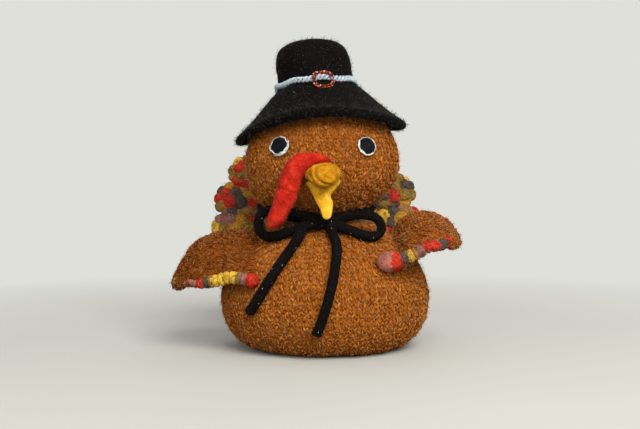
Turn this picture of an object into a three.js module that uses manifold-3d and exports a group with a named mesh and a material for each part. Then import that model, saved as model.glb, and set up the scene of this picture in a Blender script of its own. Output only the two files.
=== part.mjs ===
// A knitted and felted turkey figure in a pilgrim hat, standing on its flat base and facing -Y.
// Left and right are the turkey's own, so its right side is at -X.
import * as THREE from "three";
import { mergeVertices } from "three/addons/utils/BufferGeometryUtils.js";
import Module from "manifold-3d";

// Sizes are in millimetres and angles in degrees

// Gap between two pieces that touch
const clearance = 0.3;

// Body: a squat ball with a flat base, open at the neck
const bodyRadius = 81;
const bellyHeight = 38;
const baseRadius = 50;
const domeRise = 64;
const coverFelt = 4;
const neckOpening = 20;

// Weighting pouch on the bottom of the body
const pouchRadius = 42;
const pouchHeight = 16;
const pouchRounding = 6;

// Head: a flattened ball, set a little to the right of the body
const headRadius = 60;
const headHeight = 142;
const headRise = 56;
const headDrop = 46;
const headShift = -2.2;
const headOpening = 22;

// Yarn that sews the head to the body
const seamRadius = 27;
const seamYarn = 0.85;

// Face: the middle of the face is turned a little to the left of the head's middle
const faceShift = 0.5;
const eyeSpread = 31.8;
const eyeRise = 11;
const pupilRadius = 5.6;
const pupilBulge = 2;
const outlineRadius = 7;
const outlineYarn = 0.9;

// Beak
const beakFall = 10.5;
const beakHalfWidth = 13.4;
const beakHalfHeight = 9.6;
const beakLength = 21;
const beakDroop = 6;
const beakTaper = 0.35;
const jawFall = 13;
const jawHalfWidth = 14.5;
const jawHalfDepth = 6.5;
const jawDrop = 29;
const jawReach = 9;
const jawSlant = 3;
const jawTaper = 0.84;
const jawTaperCurve = 0.75;
const jawPinch = 0.32;
const jawPinchPlace = 0.45;
const jawPinchSpan = 0.16;
const jawRounding = [0.1, 0.08];

// Snood: a tube sewn above the beak, draped over its right side, on a route from the front of the head
const snoodRootRadius = 2.8;
const snoodRadius = 6.7;
const snoodGrowth = 0.5;
const snoodRounding = [0.03, 0.12];
const snoodForwardAngle = 50;
const snoodRoute = [
  [4.2, -0.5, -0.5],
  [-1.3, -3.2, 1],
  [-8.3, -4.3, 1.2],
  [-15.8, -4, -2],
  [-20.6, -3, -8],
  [-23.3, -2, -15],
  [-25.8, -1.2, -23.5],
  [-29.3, -0.8, -33.5],
  [-33.8, -0.5, -43],
  [-38.3, -0.3, -50],
];

// Hat: one felt of even thickness, with its heights measured from the brim's side edges
const hatRise = 24;
const hatOffset = -1.1;
const hatLeanAngle = 5.2;
const hatFelt = 6;
const crownRadius = 26.2;
const crownTop = 70;
const crownRounding = 12;
const crownFoot = 36;
const crownFlare = 1.2;
const brimRadius = 64;
const brimCurve = 1.1;
const brimLift = 9.5;

// Hat band and buckle
const bandHeight = 39;
const bandHalfTall = 2.4;
const bandHalfThick = 1.6;
const bandKnot = 3.4;
const buckleTurnAngle = 9.5;
const buckleDrop = 1.5;
const buckleHalfWidth = 7;
const buckleHalfTall = 5.7;
const buckleWire = 1.5;
const buckleSquareness = 2 / 3;

// Neck tie: a knitted cord round the neck, tied in a bow
const cordRadius = 3.7;
const neckTieFrontAngle = 57;
const neckTieBackAngle = 34;
const knotPlace = [-0.5, -45, 98.2];
const knotHalf = [13, 7.5, 7.5];
const rightLoopRoute = [
  [-2, -44, 99.5],
  [-11, -43.5, 101.5],
  [-20.5, -44, 103],
  [-33.5, -42.5, 106],
  [-45, -39.5, 107],
  [-50, -37.5, 99.5],
  [-49.5, -38.5, 91],
  [-43.5, -43, 86],
  [-33, -48.5, 88],
  [-21.5, -49, 93],
  [-11, -49, 95.5],
  [-5, -47, 97],
];
const leftLoopRoute = [
  [2, -44, 99.5],
  [11, -43.5, 100.6],
  [22, -44.5, 103],
  [30, -44.5, 102.4],
  [38, -43, 98.5],
  [41, -43, 92.5],
  [37.5, -46.5, 87.5],
  [29.5, -49.8, 87.8],
  [21, -50.3, 90.8],
  [12, -49.5, 93.6],
  [4, -47, 96.5],
];
const rightEndRoute = [
  [-15.5, -49.3, 94],
  [-21.8, -60.2, 83],
  [-27.6, -66.3, 74.7],
  [-38.3, -71.5, 59],
  [-49, -69.7, 41.5],
  [-54.3, -65.6, 33.5],
];
const leftEndRoute = [
  [2.5, -46.5, 95.5],
  [4.1, -52.5, 91.8],
  [8.2, -65.7, 81.1],
  [6.9, -76.5, 67.6],
  [3.7, -83.4, 51.6],
  [-1.8, -84.9, 32.5],
  [-6.4, -81.5, 19.7],
];

// Wings: cupped flaps sewn on the shoulders, low in front and high at the back
const wingAzimuth = 24.6;
const wingRootHeight = 79;
const wingStandoff = 1.5;
const wingPitchAngle = 21.5;
const wingHalfChord = 38;
const wingRootDepth = 12;
const wingHalfThick = 5.5;
const wingLobes = 5;
const wingLobeDepth = 0.04;
const wingLowestAngle = -33;
const wingHighestAngle = 26;
const edgingRadius = 4.4;
const edgingBumps = 11;
const edgingBumpDepth = 0.14;
const edgingRounding = [0.02, 0.03];
const edgingEndAngle = 78;

// Each wing has its own curl: reach, arch, how much of the arch its front and back edges keep,
// angle at rest, and the bobble that ends its edging
const leftWing = {
  side: 1,
  reach: 40,
  arch: 12.5,
  edgeArch: 0.6,
  restAngle: 4,
  bobble: [-11, -38, 4.5],
  bobbleHalf: [10, 7.8, 7.6],
};
const rightWing = {
  side: -1,
  reach: 62,
  arch: 18,
  edgeArch: 0,
  restAngle: -31,
  bobble: [1, -42, -9],
  bobbleHalf: [5.5, 5.5, 5.5],
};

// Tail: a fan of feathers on a root pad sewn to the back
const tailHeight = 76;
const tailShift = -7;
const tailStandoff = 5;
const tailRise = 16.5;
const tailLeanAngle = 15;
const tailForwardAngle = 3;
const tailBackwardAngle = 40;
const tailRootHalf = [26, 8, 26];
const featherCount = 10;
const featherSpreadAngle = 20.5;
const featherTurnAngle = 3;
const featherReach = 91;
const featherStart = 16;
const featherHalfThick = 6.5;
const featherBumps = 4;
const featherBumpDepth = 0.1;
const featherRounding = [0.05, 0.2];

// Fineness of the faceted surfaces
const roundSteps = 28;
const fillSteps = roundSteps / 2;
const innerSteps = 20;
const arcSteps = 6;
const ballSides = 16;
const ballSteps = 8;
const ropeSides = 8;
const yarnSides = 6;
const jawSteps = 12;
const snoodSteps = 18;
const hatSteps = 14;
const brimSteps = 4;
const loopSteps = 18;
const endSteps = 10;
const wingSides = 22;
const edgingTurns = 12;
const edgingSteps = 33;
const featherSteps = 16;
const sweepStep = 12;
const mergeDistance = 1e-4;

const degree = Math.PI / 180;
const wasm = await Module();
wasm.setup();

// Solids: closed meshes that can be joined and cut

function solidOf(geometry) {
  const plain = geometry.clone();
  plain.deleteAttribute("normal");
  plain.deleteAttribute("uv");
  const merged = mergeVertices(plain, mergeDistance);
  const triangles = [];
  for (let i = 0; i < merged.index.count; i += 3) {
    const [a, b, c] = merged.index.array.slice(i, i + 3);
    if (a !== b && b !== c && c !== a) {
      triangles.push(a, b, c);
    }
  }
  const mesh = new wasm.Mesh({
    numProp: 3,
    vertProperties: new Float32Array(merged.attributes.position.array),
    triVerts: new Uint32Array(triangles),
  });
  return new wasm.Manifold(mesh);
}

function geometryOf(solid) {
  const mesh = solid.getMesh();
  const geometry = new THREE.BufferGeometry();
  geometry.setAttribute("position", new THREE.BufferAttribute(mesh.vertProperties, 3));
  geometry.setIndex(new THREE.BufferAttribute(mesh.triVerts, 1));
  return geometry;
}

function cut(geometry, ...tools) {
  let solid = solidOf(geometry);
  for (const tool of tools) {
    solid = solid.subtract(solidOf(tool));
  }
  return geometryOf(solid);
}

function join(geometry, other) {
  return geometryOf(solidOf(geometry).add(solidOf(other)));
}

// Forms

function vector(place) {
  return new THREE.Vector3(...place);
}

function arc(centre, half, from, to) {
  const points = [];
  for (let i = 0; i <= arcSteps; i += 1) {
    const angle = from + ((to - from) * i) / arcSteps;
    points.push(new THREE.Vector2(centre.x + half.x * Math.cos(angle), centre.y + half.y * Math.sin(angle)));
  }
  return points;
}

// A profile in radius and height, turned about the Z axis
function revolve(points, steps) {
  const ordered = THREE.ShapeUtils.area(points) < 0 ? [...points].reverse() : points;
  return new THREE.LatheGeometry(ordered, steps).rotateX(Math.PI / 2);
}

function ellipsoid(place, half, sides, steps) {
  return new THREE.SphereGeometry(1, sides, steps).scale(...half).translate(...place);
}

// How the sections of a stuffed form are spaced along its path
function evenly(level) {
  return Math.acos(THREE.MathUtils.clamp(level, -1, 1)) / Math.PI;
}

function closerAtEnds(level) {
  return (1 - level) / 2;
}

// A stuffed form that swells and tapers along a path and closes to a point at each end
function swell(path, across, halfWidth, halfDepth, sides, steps, spacing) {
  const geometry = new THREE.SphereGeometry(1, sides, steps);
  const place = geometry.attributes.position;
  for (let i = 0; i < place.count; i += 1) {
    const along = spacing(place.getY(i));
    const round = Math.max(Math.hypot(place.getX(i), place.getZ(i)), mergeDistance);
    const tangent = path.getTangentAt(along);
    const wide = across.clone().addScaledVector(tangent, -across.dot(tangent)).normalize();
    const deep = tangent.clone().cross(wide);
    const spot = path.getPointAt(along);
    if (along > mergeDistance && along < 1 - mergeDistance) {
      spot.addScaledVector(wide, (halfWidth(along, place.getX(i)) * place.getX(i)) / round);
      spot.addScaledVector(deep, (halfDepth(along) * place.getZ(i)) / round);
    }
    place.setXYZ(i, ...spot);
  }
  return geometry;
}

// A closed ring whose middle line and section come from a function of the turn and the section's angle
function ring(steps, sides, spotAt) {
  const geometry = new THREE.TorusGeometry(1, 0.5, sides, steps);
  const place = geometry.attributes.position;
  const share = geometry.attributes.uv;
  for (let i = 0; i < place.count; i += 1) {
    const turn = (share.getX(i) % 1) * 2 * Math.PI;
    const section = (share.getY(i) % 1) * 2 * Math.PI;
    place.setXYZ(i, ...spotAt(turn, section));
  }
  return geometry;
}

function roundEnds(along, [start, end]) {
  const near = Math.min(1, along / start);
  const far = Math.min(1, (1 - along) / end);
  return Math.sqrt(1 - (1 - near) ** 2) * Math.sqrt(1 - (1 - far) ** 2);
}

function bumps(share, count, depth) {
  return 1 - depth * (0.5 + 0.5 * Math.cos(share * count * 2 * Math.PI));
}

function cord(route, radius, steps) {
  const section = new THREE.Shape().absarc(0, 0, radius, 0, 2 * Math.PI, false);
  const extrudePath = new THREE.CatmullRomCurve3(route.map(vector));
  const curveSegments = ropeSides / 2;
  return new THREE.ExtrudeGeometry(section, { steps, curveSegments, bevelEnabled: false, extrudePath });
}

// Even angles from one limit of a swing to the other
function swing(low, high) {
  const steps = Math.ceil((high - low) / sweepStep);
  return Array.from({ length: steps + 1 }, (unused, i) => low + ((high - low) * i) / steps);
}

// Body

function bodyProfile(inset, opening) {
  const lowHalf = new THREE.Vector2(bodyRadius - baseRadius - inset, bellyHeight - inset);
  const highHalf = new THREE.Vector2(bodyRadius - inset, domeRise - inset);
  const low = arc(new THREE.Vector2(baseRadius, bellyHeight), lowHalf, -Math.PI / 2, 0);
  const high = arc(new THREE.Vector2(0, bellyHeight), highHalf, 0, Math.acos(opening / highHalf.x));
  return [...low, ...high.slice(1)];
}

function bodyCover() {
  const outside = bodyProfile(0, neckOpening);
  const inside = bodyProfile(coverFelt, neckOpening).reverse();
  const profile = [new THREE.Vector2(0, 0), ...outside, ...inside, new THREE.Vector2(0, coverFelt)];
  return revolve(profile, roundSteps);
}

function bodyEnvelope(grow) {
  const side = bodyProfile(-grow, neckOpening);
  return revolve([new THREE.Vector2(0, -grow), ...side, new THREE.Vector2(0, side.at(-1).y)], roundSteps);
}

function bodyStuffing() {
  const inset = coverFelt + clearance;
  const recessTop = inset + pouchHeight + clearance;
  const recessSide = pouchRadius + clearance;
  const recess = [
    new THREE.Vector2(0, recessTop),
    new THREE.Vector2(recessSide, recessTop),
    new THREE.Vector2(recessSide, inset),
  ];
  const side = bodyProfile(inset, neckOpening);
  return revolve([...recess, ...side, new THREE.Vector2(0, side.at(-1).y)], fillSteps);
}

function weightPouch() {
  const low = coverFelt + clearance;
  const high = low + pouchHeight;
  const half = new THREE.Vector2(pouchRounding, pouchRounding);
  const side = pouchRadius - pouchRounding;
  const under = arc(new THREE.Vector2(side, low + pouchRounding), half, -Math.PI / 2, 0);
  const over = arc(new THREE.Vector2(side, high - pouchRounding), half, 0, Math.PI / 2);
  return revolve([new THREE.Vector2(0, low), ...under, ...over, new THREE.Vector2(0, high)], fillSteps);
}

// A point of the body's dome at an azimuth measured from the side towards the front
function bodySpot(azimuth, height) {
  const rise = (height - bellyHeight) / domeRise;
  const reach = bodyRadius * Math.sqrt(1 - rise * rise);
  const turn = azimuth * degree;
  const spot = new THREE.Vector3(reach * Math.cos(turn), -reach * Math.sin(turn), height);
  const normal = new THREE.Vector3(spot.x / bodyRadius ** 2, spot.y / bodyRadius ** 2, rise / domeRise);
  return { spot, normal: normal.normalize() };
}

// Head

function headProfile(inset, opening) {
  const centre = new THREE.Vector2(0, headHeight);
  const lowHalf = new THREE.Vector2(headRadius - inset, headDrop - inset);
  const highHalf = new THREE.Vector2(headRadius - inset, headRise - inset);
  const low = arc(centre, lowHalf, -Math.acos(opening / lowHalf.x), 0);
  const high = arc(centre, highHalf, 0, Math.PI / 2);
  return [...low, ...high.slice(1)];
}

function headCover() {
  const outside = headProfile(0, headOpening);
  const inside = headProfile(coverFelt, headOpening).reverse();
  const shell = revolve([...inside, ...outside], roundSteps).translate(headShift, 0, 0);
  return cut(shell, bodyEnvelope(clearance), neckSeam(clearance));
}

function headEnvelope(grow) {
  const side = headProfile(-grow, headOpening);
  return revolve([new THREE.Vector2(0, side[0].y), ...side], roundSteps).translate(headShift, 0, 0);
}

function headStuffing() {
  const side = headProfile(coverFelt + clearance, headOpening);
  return revolve([new THREE.Vector2(0, side[0].y), ...side], fillSteps).translate(headShift, 0, 0);
}

function neckSeam(grow) {
  const height = bellyHeight + domeRise * Math.sqrt(1 - (seamRadius / bodyRadius) ** 2);
  const { spot, normal } = bodySpot(0, height);
  const middle = spot.addScaledVector(normal, seamYarn + clearance);
  const seam = new THREE.TorusGeometry(middle.x, seamYarn + grow, yarnSides, innerSteps);
  return seam.translate(headShift / 2, 0, middle.z);
}

// A point of the face at a distance across from the head's middle
function faceSpot(across, height) {
  const half = height > headHeight ? headRise : headDrop;
  const rise = (height - headHeight) / half;
  const depth = -Math.sqrt(headRadius ** 2 * (1 - rise * rise) - across * across);
  const normal = new THREE.Vector3(across / headRadius ** 2, depth / headRadius ** 2, rise / half);
  return { spot: new THREE.Vector3(headShift + across, depth, height), normal: normal.normalize() };
}

// Eyes

function eyePiece(geometry, side) {
  const { spot, normal } = faceSpot(faceShift + side * eyeSpread, headHeight + eyeRise);
  const facing = new THREE.Quaternion().setFromUnitVectors(new THREE.Vector3(0, 0, 1), normal);
  return cut(geometry.applyQuaternion(facing).translate(...spot), headEnvelope(clearance));
}

function eyePupil(side) {
  return eyePiece(ellipsoid([0, 0, 0], [pupilRadius, pupilRadius, pupilBulge], ballSides, ballSteps), side);
}

function eyeOutline(side) {
  return eyePiece(new THREE.TorusGeometry(outlineRadius, outlineYarn, yarnSides, innerSteps), side);
}

// Beak

function upperBeak(grow) {
  const { spot } = faceSpot(faceShift, headHeight - beakFall);
  const half = [beakHalfWidth + grow, beakLength + grow, beakHalfHeight + grow];
  const geometry = ellipsoid([0, 0, 0], half, innerSteps, ballSteps);
  const place = geometry.attributes.position;
  for (let i = 0; i < place.count; i += 1) {
    const forward = Math.max(0, -place.getY(i) / beakLength);
    const below = Math.max(0, -place.getZ(i) / beakHalfHeight);
    place.setX(i, place.getX(i) * (1 - beakTaper * below));
    place.setZ(i, place.getZ(i) - beakDroop * forward * forward);
  }
  return geometry.translate(...spot);
}

function lowerBeak() {
  const { spot } = faceSpot(faceShift, headHeight - jawFall);
  const tip = new THREE.Vector3(spot.x + jawSlant, spot.y - jawReach, spot.z - jawDrop);
  const path = new THREE.LineCurve3(spot, tip);
  const taper = (along) => roundEnds(along, jawRounding) * (1 - jawTaper * along ** jawTaperCurve);
  const pinch = (along) => 1 - jawPinch * Math.exp(-(((along - jawPinchPlace) / jawPinchSpan) ** 2));
  const halfWidth = (along, towards) => jawHalfWidth * taper(along) * (towards > 0 ? pinch(along) : 1);
  const halfDepth = (along) => jawHalfDepth * taper(along);
  return swell(path, new THREE.Vector3(1, 0, 0), halfWidth, halfDepth, ballSides, jawSteps, evenly);
}

// Snood: it hangs from its root and swings forward about a line across the face

function snoodPath() {
  const front = new THREE.Vector3(headShift + faceShift, -headRadius, headHeight);
  return snoodRoute.map((place) => vector(place).add(front));
}

function snoodSweep() {
  const [root] = snoodPath();
  const tools = [];
  for (const angle of swing(0, snoodForwardAngle)) {
    const head = headEnvelope(clearance).translate(-root.x, -root.y, -root.z);
    tools.push(head.rotateX(angle * degree).translate(...root));
  }
  return tools;
}

function snood() {
  const path = new THREE.CatmullRomCurve3(snoodPath());
  const grown = (along) => THREE.MathUtils.smoothstep(along, 0, snoodGrowth);
  const radius = (along) => THREE.MathUtils.lerp(snoodRootRadius, snoodRadius, grown(along));
  const half = (along) => radius(along) * roundEnds(along, snoodRounding);
  const tube = swell(path, new THREE.Vector3(0, 1, 0), half, half, ropeSides, snoodSteps, closerAtEnds);
  return cut(tube, upperBeak(clearance), ...snoodSweep());
}

// Hat

function hatMiddle() {
  const shoulder = crownRounding * (1 - Math.SQRT1_2);
  const points = [
    new THREE.Vector2(0, crownTop),
    new THREE.Vector2(crownRadius - crownRounding, crownTop),
    new THREE.Vector2(crownRadius - shoulder, crownTop - shoulder),
    new THREE.Vector2(crownRadius, crownTop - crownRounding),
    new THREE.Vector2(crownRadius, (crownTop - crownRounding + crownFoot) / 2),
  ];
  for (let i = 0; i <= brimSteps; i += 1) {
    const inwards = 1 - i / brimSteps;
    const reach = THREE.MathUtils.lerp(brimRadius, crownRadius + crownFlare, inwards);
    points.push(new THREE.Vector2(reach, crownFoot * inwards ** brimCurve));
  }
  return new THREE.SplineCurve(points);
}

function hatForm(grow) {
  const half = hatFelt / 2 + grow;
  const middle = hatMiddle();
  const outside = [];
  const inside = [];
  for (let i = 0; i <= hatSteps; i += 1) {
    const spot = middle.getPoint(i / hatSteps);
    const along = middle.getTangent(i / hatSteps);
    const normal = i === 0 ? new THREE.Vector2(0, 1) : new THREE.Vector2(-along.y, along.x);
    outside.push(spot.clone().addScaledVector(normal, half));
    inside.push(spot.clone().addScaledVector(normal, -half));
  }
  const end = middle.getPoint(1);
  const away = middle.getTangent(1);
  const facing = Math.atan2(away.x, -away.y);
  const rim = arc(end, new THREE.Vector2(half, half), facing, facing - Math.PI).slice(1, -1);
  const geometry = revolve([...outside, ...rim, ...inside.reverse()], roundSteps);
  return liftBrim(geometry);
}

// The brim stands higher in front and at the back than at its sides
function liftBrim(geometry) {
  const place = geometry.attributes.position;
  for (let i = 0; i < place.count; i += 1) {
    const reach = Math.max(Math.hypot(place.getX(i), place.getY(i)), mergeDistance);
    const share = Math.max(0, (reach - crownRadius) / (brimRadius - crownRadius));
    place.setZ(i, place.getZ(i) + brimLift * share * share * (place.getY(i) / reach) ** 2);
  }
  return geometry;
}

function hatBand() {
  const reach = crownRadius + hatFelt / 2 + bandHalfThick;
  const loop = ring(roundSteps, ropeSides, (turn, section) => {
    const out = reach + bandHalfThick * Math.cos(section);
    return [out * Math.cos(turn), out * Math.sin(turn), bandHeight + bandHalfTall * Math.sin(section)];
  });
  const knotHeight = bandHeight - bandHalfTall / 2;
  const knotSize = [bandHalfThick, bandKnot, bandKnot];
  const knot = ellipsoid([-reach, 0, knotHeight], knotSize, ropeSides, yarnSides);
  return cut(join(loop, knot), hatForm(clearance));
}

function hatBuckle() {
  const reach = crownRadius + hatFelt / 2 + 2 * bandHalfThick + clearance + buckleWire;
  const squared = (value) => Math.sign(value) * Math.abs(value) ** buckleSquareness;
  const loop = ring(innerSteps, yarnSides, (turn, section) => {
    const out = buckleWire * Math.cos(section);
    return [
      buckleHalfWidth * squared(Math.cos(turn)) + out * Math.cos(turn),
      buckleHalfTall * squared(Math.sin(turn)) + out * Math.sin(turn),
      buckleWire * Math.sin(section),
    ];
  });
  const upright = loop.rotateX(Math.PI / 2).translate(0, -reach, bandHeight - buckleDrop);
  return cut(upright.rotateZ(buckleTurnAngle * degree), hatForm(clearance));
}

// Neck tie

function neckTie() {
  const offset = cordRadius + clearance;
  const loop = ring(roundSteps, ropeSides, (turn, section) => {
    const backwards = (1 + Math.sin(turn)) / 2;
    const level = THREE.MathUtils.lerp(neckTieFrontAngle, neckTieBackAngle, backwards) * degree;
    const normal = new THREE.Vector2(Math.cos(level) / headRadius, -Math.sin(level) / headDrop).normalize();
    const reach = headRadius * Math.cos(level) + offset * normal.x + cordRadius * Math.cos(section);
    const height = headHeight - headDrop * Math.sin(level) + offset * normal.y;
    const rise = cordRadius * Math.sin(section);
    return [headShift + reach * Math.cos(turn), reach * Math.sin(turn), height + rise];
  });
  return cut(loop, tieKnotForm(clearance));
}

function tieKnotForm(grow) {
  return ellipsoid(knotPlace, knotHalf.map((half) => half + grow), ballSides, ballSteps);
}

function tieKnot() {
  return cut(tieKnotForm(0), bodyEnvelope(clearance), headEnvelope(clearance));
}

function tieLoop(route) {
  return cut(cord(route, cordRadius, loopSteps), tieKnotForm(clearance), bodyEnvelope(clearance));
}

function tieEnd(route) {
  const loops = [leftLoopRoute, rightLoopRoute].map((loop) => cord(loop, cordRadius + clearance, loopSteps));
  return cut(cord(route, cordRadius, endSteps), tieKnotForm(clearance), ...loops, bodyEnvelope(clearance));
}

// Wings: local X runs outwards, local Y along the root seam and local Z up

function wingGroup(wing) {
  const { spot, normal } = bodySpot(wingAzimuth, wingRootHeight);
  const root = spot.addScaledVector(normal, wingStandoff);
  const outwards = new THREE.Vector3(wing.side, 0, 0);
  const seam = new THREE.Vector3(0, Math.cos(wingPitchAngle * degree), Math.sin(wingPitchAngle * degree));
  seam.multiplyScalar(wing.side);
  const frame = new THREE.Matrix4().makeBasis(outwards, seam, outwards.clone().cross(seam));
  const group = new THREE.Group();
  group.position.set(wing.side * root.x, root.y, root.z);
  group.quaternion.setFromRotationMatrix(frame);
  group.rotateY(-wing.restAngle * degree);
  group.updateMatrix();
  return group;
}

// The space that the body takes in the wing's frame while the wing swings between its limits
function wingSweep(wing, group) {
  const inverse = group.matrix.clone().invert();
  const tools = [];
  for (const angle of [wing.restAngle, ...swing(wingLowestAngle, wingHighestAngle)]) {
    const turn = (angle - wing.restAngle) * degree;
    tools.push(bodyEnvelope(clearance).applyMatrix4(inverse).rotateY(turn));
  }
  return tools;
}

function wingOutline(wing, angle) {
  const lobes = 1 - wingLobeDepth * (1 + Math.cos(2 * wingLobes * angle)) / 2;
  const outwards = Math.cos(angle);
  const reach = (outwards > 0 ? wing.reach : wingRootDepth) * outwards * lobes;
  return [reach, wingHalfChord * Math.sin(angle) * lobes];
}

function wingArch(wing, out, along) {
  const share = THREE.MathUtils.clamp(out / wing.reach, 0, 1);
  return wing.arch * Math.sin(Math.PI * share) * (1 - (1 - wing.edgeArch) * (along / wingHalfChord) ** 2);
}

function wingPanel(wing, tools) {
  const geometry = new THREE.SphereGeometry(1, wingSides, ballSteps).rotateX(Math.PI / 2);
  const place = geometry.attributes.position;
  for (let i = 0; i < place.count; i += 1) {
    const share = Math.hypot(place.getX(i), place.getY(i));
    const [out, along] = wingOutline(wing, Math.atan2(place.getY(i), place.getX(i)));
    const lift = wingArch(wing, out * share, along * share);
    place.setXYZ(i, out * share, along * share, lift + wingHalfThick * place.getZ(i));
  }
  return cut(geometry, wingEdgingForm(wing, clearance), wingBobbleForm(wing, clearance), ...tools);
}

function wingEdgingForm(wing, grow) {
  const points = [vector(wing.bobble).setY(wing.side * wing.bobble[1])];
  for (let i = 0; i <= edgingTurns; i += 1) {
    const angle = edgingEndAngle * ((2 * i) / edgingTurns - 1);
    const [out, along] = wingOutline(wing, wing.side * angle * degree);
    points.push(new THREE.Vector3(out, along, wingArch(wing, out, along)));
  }
  const path = new THREE.CatmullRomCurve3(points);
  const rope = (along) => edgingRadius * bumps(along, edgingBumps, edgingBumpDepth);
  const half = (along) => (rope(along) + grow) * roundEnds(along, edgingRounding);
  return swell(path, new THREE.Vector3(0, 0, 1), half, half, ropeSides, edgingSteps, evenly);
}

function wingEdging(wing, tools) {
  return cut(wingEdgingForm(wing, 0), wingBobbleForm(wing, clearance), ...tools);
}

function wingBobbleForm(wing, grow) {
  const [out, along, up] = wing.bobble;
  const half = wing.bobbleHalf.map((value) => value + grow);
  return ellipsoid([out, wing.side * along, up], half, ballSides, ballSteps);
}

function wingBobble(wing, tools) {
  return cut(wingBobbleForm(wing, 0), ...tools);
}

// Tail: local X runs across, local Z up along the fan and local Y to the back

function tailGroup() {
  const { spot, normal } = bodySpot(-90, tailHeight);
  const root = spot.addScaledVector(normal, tailStandoff);
  const group = new THREE.Group();
  group.position.set(tailShift, root.y, root.z);
  group.rotation.x = -tailLeanAngle * degree;
  group.updateMatrix();
  return group;
}

// The space that the body takes in the tail's frame while the tail bends between its limits
function tailSweep(group) {
  const inverse = group.matrix.clone().invert();
  const tools = [];
  for (const angle of [0, ...swing(-tailForwardAngle, tailBackwardAngle)]) {
    tools.push(bodyEnvelope(clearance).applyMatrix4(inverse).rotateX(angle * degree));
  }
  return tools;
}

function tailRootForm(grow) {
  const [across, deep, up] = tailRootHalf;
  return ellipsoid([0, 0, tailRise / 2], [across + grow, deep + grow, up + grow], innerSteps, ballSteps);
}

function tailFeather(index, tools) {
  const angle = (90 + featherTurnAngle + featherSpreadAngle * (index - (featherCount - 1) / 2)) * degree;
  const radial = new THREE.Vector3(Math.cos(angle), 0, Math.sin(angle));
  const fan = new THREE.Vector3(0, 0, tailRise);
  const start = fan.clone().addScaledVector(radial, featherStart);
  const path = new THREE.LineCurve3(start, fan.addScaledVector(radial, featherReach));
  const reachAt = (along) => THREE.MathUtils.lerp(featherStart, featherReach, along);
  const share = (along) => reachAt(along) * Math.sin((featherSpreadAngle / 2) * degree) - clearance / 2;
  const lumps = (along) => bumps(along, featherBumps, featherBumpDepth) * roundEnds(along, featherRounding);
  const halfWidth = (along) => share(along) * lumps(along);
  const halfDepth = (along) => Math.min(featherHalfThick, share(along)) * lumps(along);
  const across = new THREE.Vector3(-radial.z, 0, radial.x);
  const feather = swell(path, across, halfWidth, halfDepth, ropeSides, featherSteps, closerAtEnds);
  return cut(feather, tailRootForm(clearance), ...tools);
}

// Colours and assembly

const wool = { roughness: 0.95, metalness: 0 };
const brown = { color: "#94531e", ...wool };
const fill = { color: "#e6e2d8", ...wool };
const black = { color: "#17161a", ...wool };
const variegated = ["#a83a2c", "#5c5450", "#b08a30", "#8a5a52"].map((color) => ({ color, ...wool }));

function piece(name, geometry, look) {
  const mesh = new THREE.Mesh(geometryOf(solidOf(geometry)), new THREE.MeshStandardMaterial(look));
  mesh.name = name;
  return mesh;
}

function bodyPieces() {
  return [
    piece("body_cover", bodyCover(), brown),
    piece("body_stuffing", bodyStuffing(), fill),
    piece("weight_pouch", weightPouch(), { color: "#b9b09c", ...wool }),
    piece("head_cover", headCover(), brown),
    piece("head_stuffing", headStuffing(), fill),
    piece("neck_seam", neckSeam(0), { color: "#7d4518", ...wool }),
  ];
}

function facePieces() {
  const pieces = [];
  for (const [name, side] of [["left", 1], ["right", -1]]) {
    pieces.push(piece(`${name}_eye_pupil`, eyePupil(side), { ...wool, color: "#1b1d26" }));
    pieces.push(piece(`${name}_eye_outline`, eyeOutline(side), { ...wool, color: "#d8dcdc" }));
  }
  const upper = cut(upperBeak(0), headEnvelope(clearance));
  const lower = cut(lowerBeak(), headEnvelope(clearance), upperBeak(clearance));
  pieces.push(piece("upper_beak", upper, { color: "#c08418", ...wool }));
  pieces.push(piece("lower_beak", lower, { color: "#dea525", ...wool }));
  pieces.push(piece("snood", snood(), { color: "#c02c1c", ...wool }));
  return pieces;
}

function tiePieces() {
  return [
    piece("neck_tie", neckTie(), black),
    piece("tie_knot", tieKnot(), black),
    piece("left_tie_loop", tieLoop(leftLoopRoute), black),
    piece("right_tie_loop", tieLoop(rightLoopRoute), black),
    piece("left_tie_end", tieEnd(leftEndRoute), black),
    piece("right_tie_end", tieEnd(rightEndRoute), black),
  ];
}

function hat() {
  const group = new THREE.Group();
  group.position.set(headShift + hatOffset, 0, headHeight + hatRise);
  group.rotation.y = -hatLeanAngle * degree;
  group.updateMatrix();
  const head = headEnvelope(clearance).applyMatrix4(group.matrix.clone().invert());
  group.add(piece("hat_felt", cut(hatForm(0), head), black));
  group.add(piece("hat_band", hatBand(), { color: "#a9c3d0", ...wool }));
  group.add(piece("hat_buckle", hatBuckle(), { color: "#b5642f", roughness: 0.35, metalness: 0.9 }));
  return group;
}

function wingPieces(name, wing, bobbleLook) {
  const group = wingGroup(wing);
  const tools = wingSweep(wing, group);
  group.add(piece(`${name}_wing_panel`, wingPanel(wing, tools), brown));
  group.add(piece(`${name}_wing_edging`, wingEdging(wing, tools), variegated[2]));
  group.add(piece(`${name}_wing_bobble`, wingBobble(wing, tools), bobbleLook));
  return group;
}

function tail() {
  const group = tailGroup();
  const tools = tailSweep(group);
  group.add(piece("tail_root", cut(tailRootForm(0), ...tools), variegated[3]));
  for (let i = 0; i < featherCount; i += 1) {
    group.add(piece(`tail_feather_${i + 1}`, tailFeather(i, tools), variegated[i % variegated.length]));
  }
  return group;
}

const figure = new THREE.Group();
figure.add(...bodyPieces(), ...facePieces(), ...tiePieces(), hat());
figure.add(wingPieces("left", leftWing, variegated[3]), wingPieces("right", rightWing, variegated[0]));
figure.add(tail());

export default figure;
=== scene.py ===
import math

import bpy
import numpy as np
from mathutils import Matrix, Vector, noise

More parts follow.
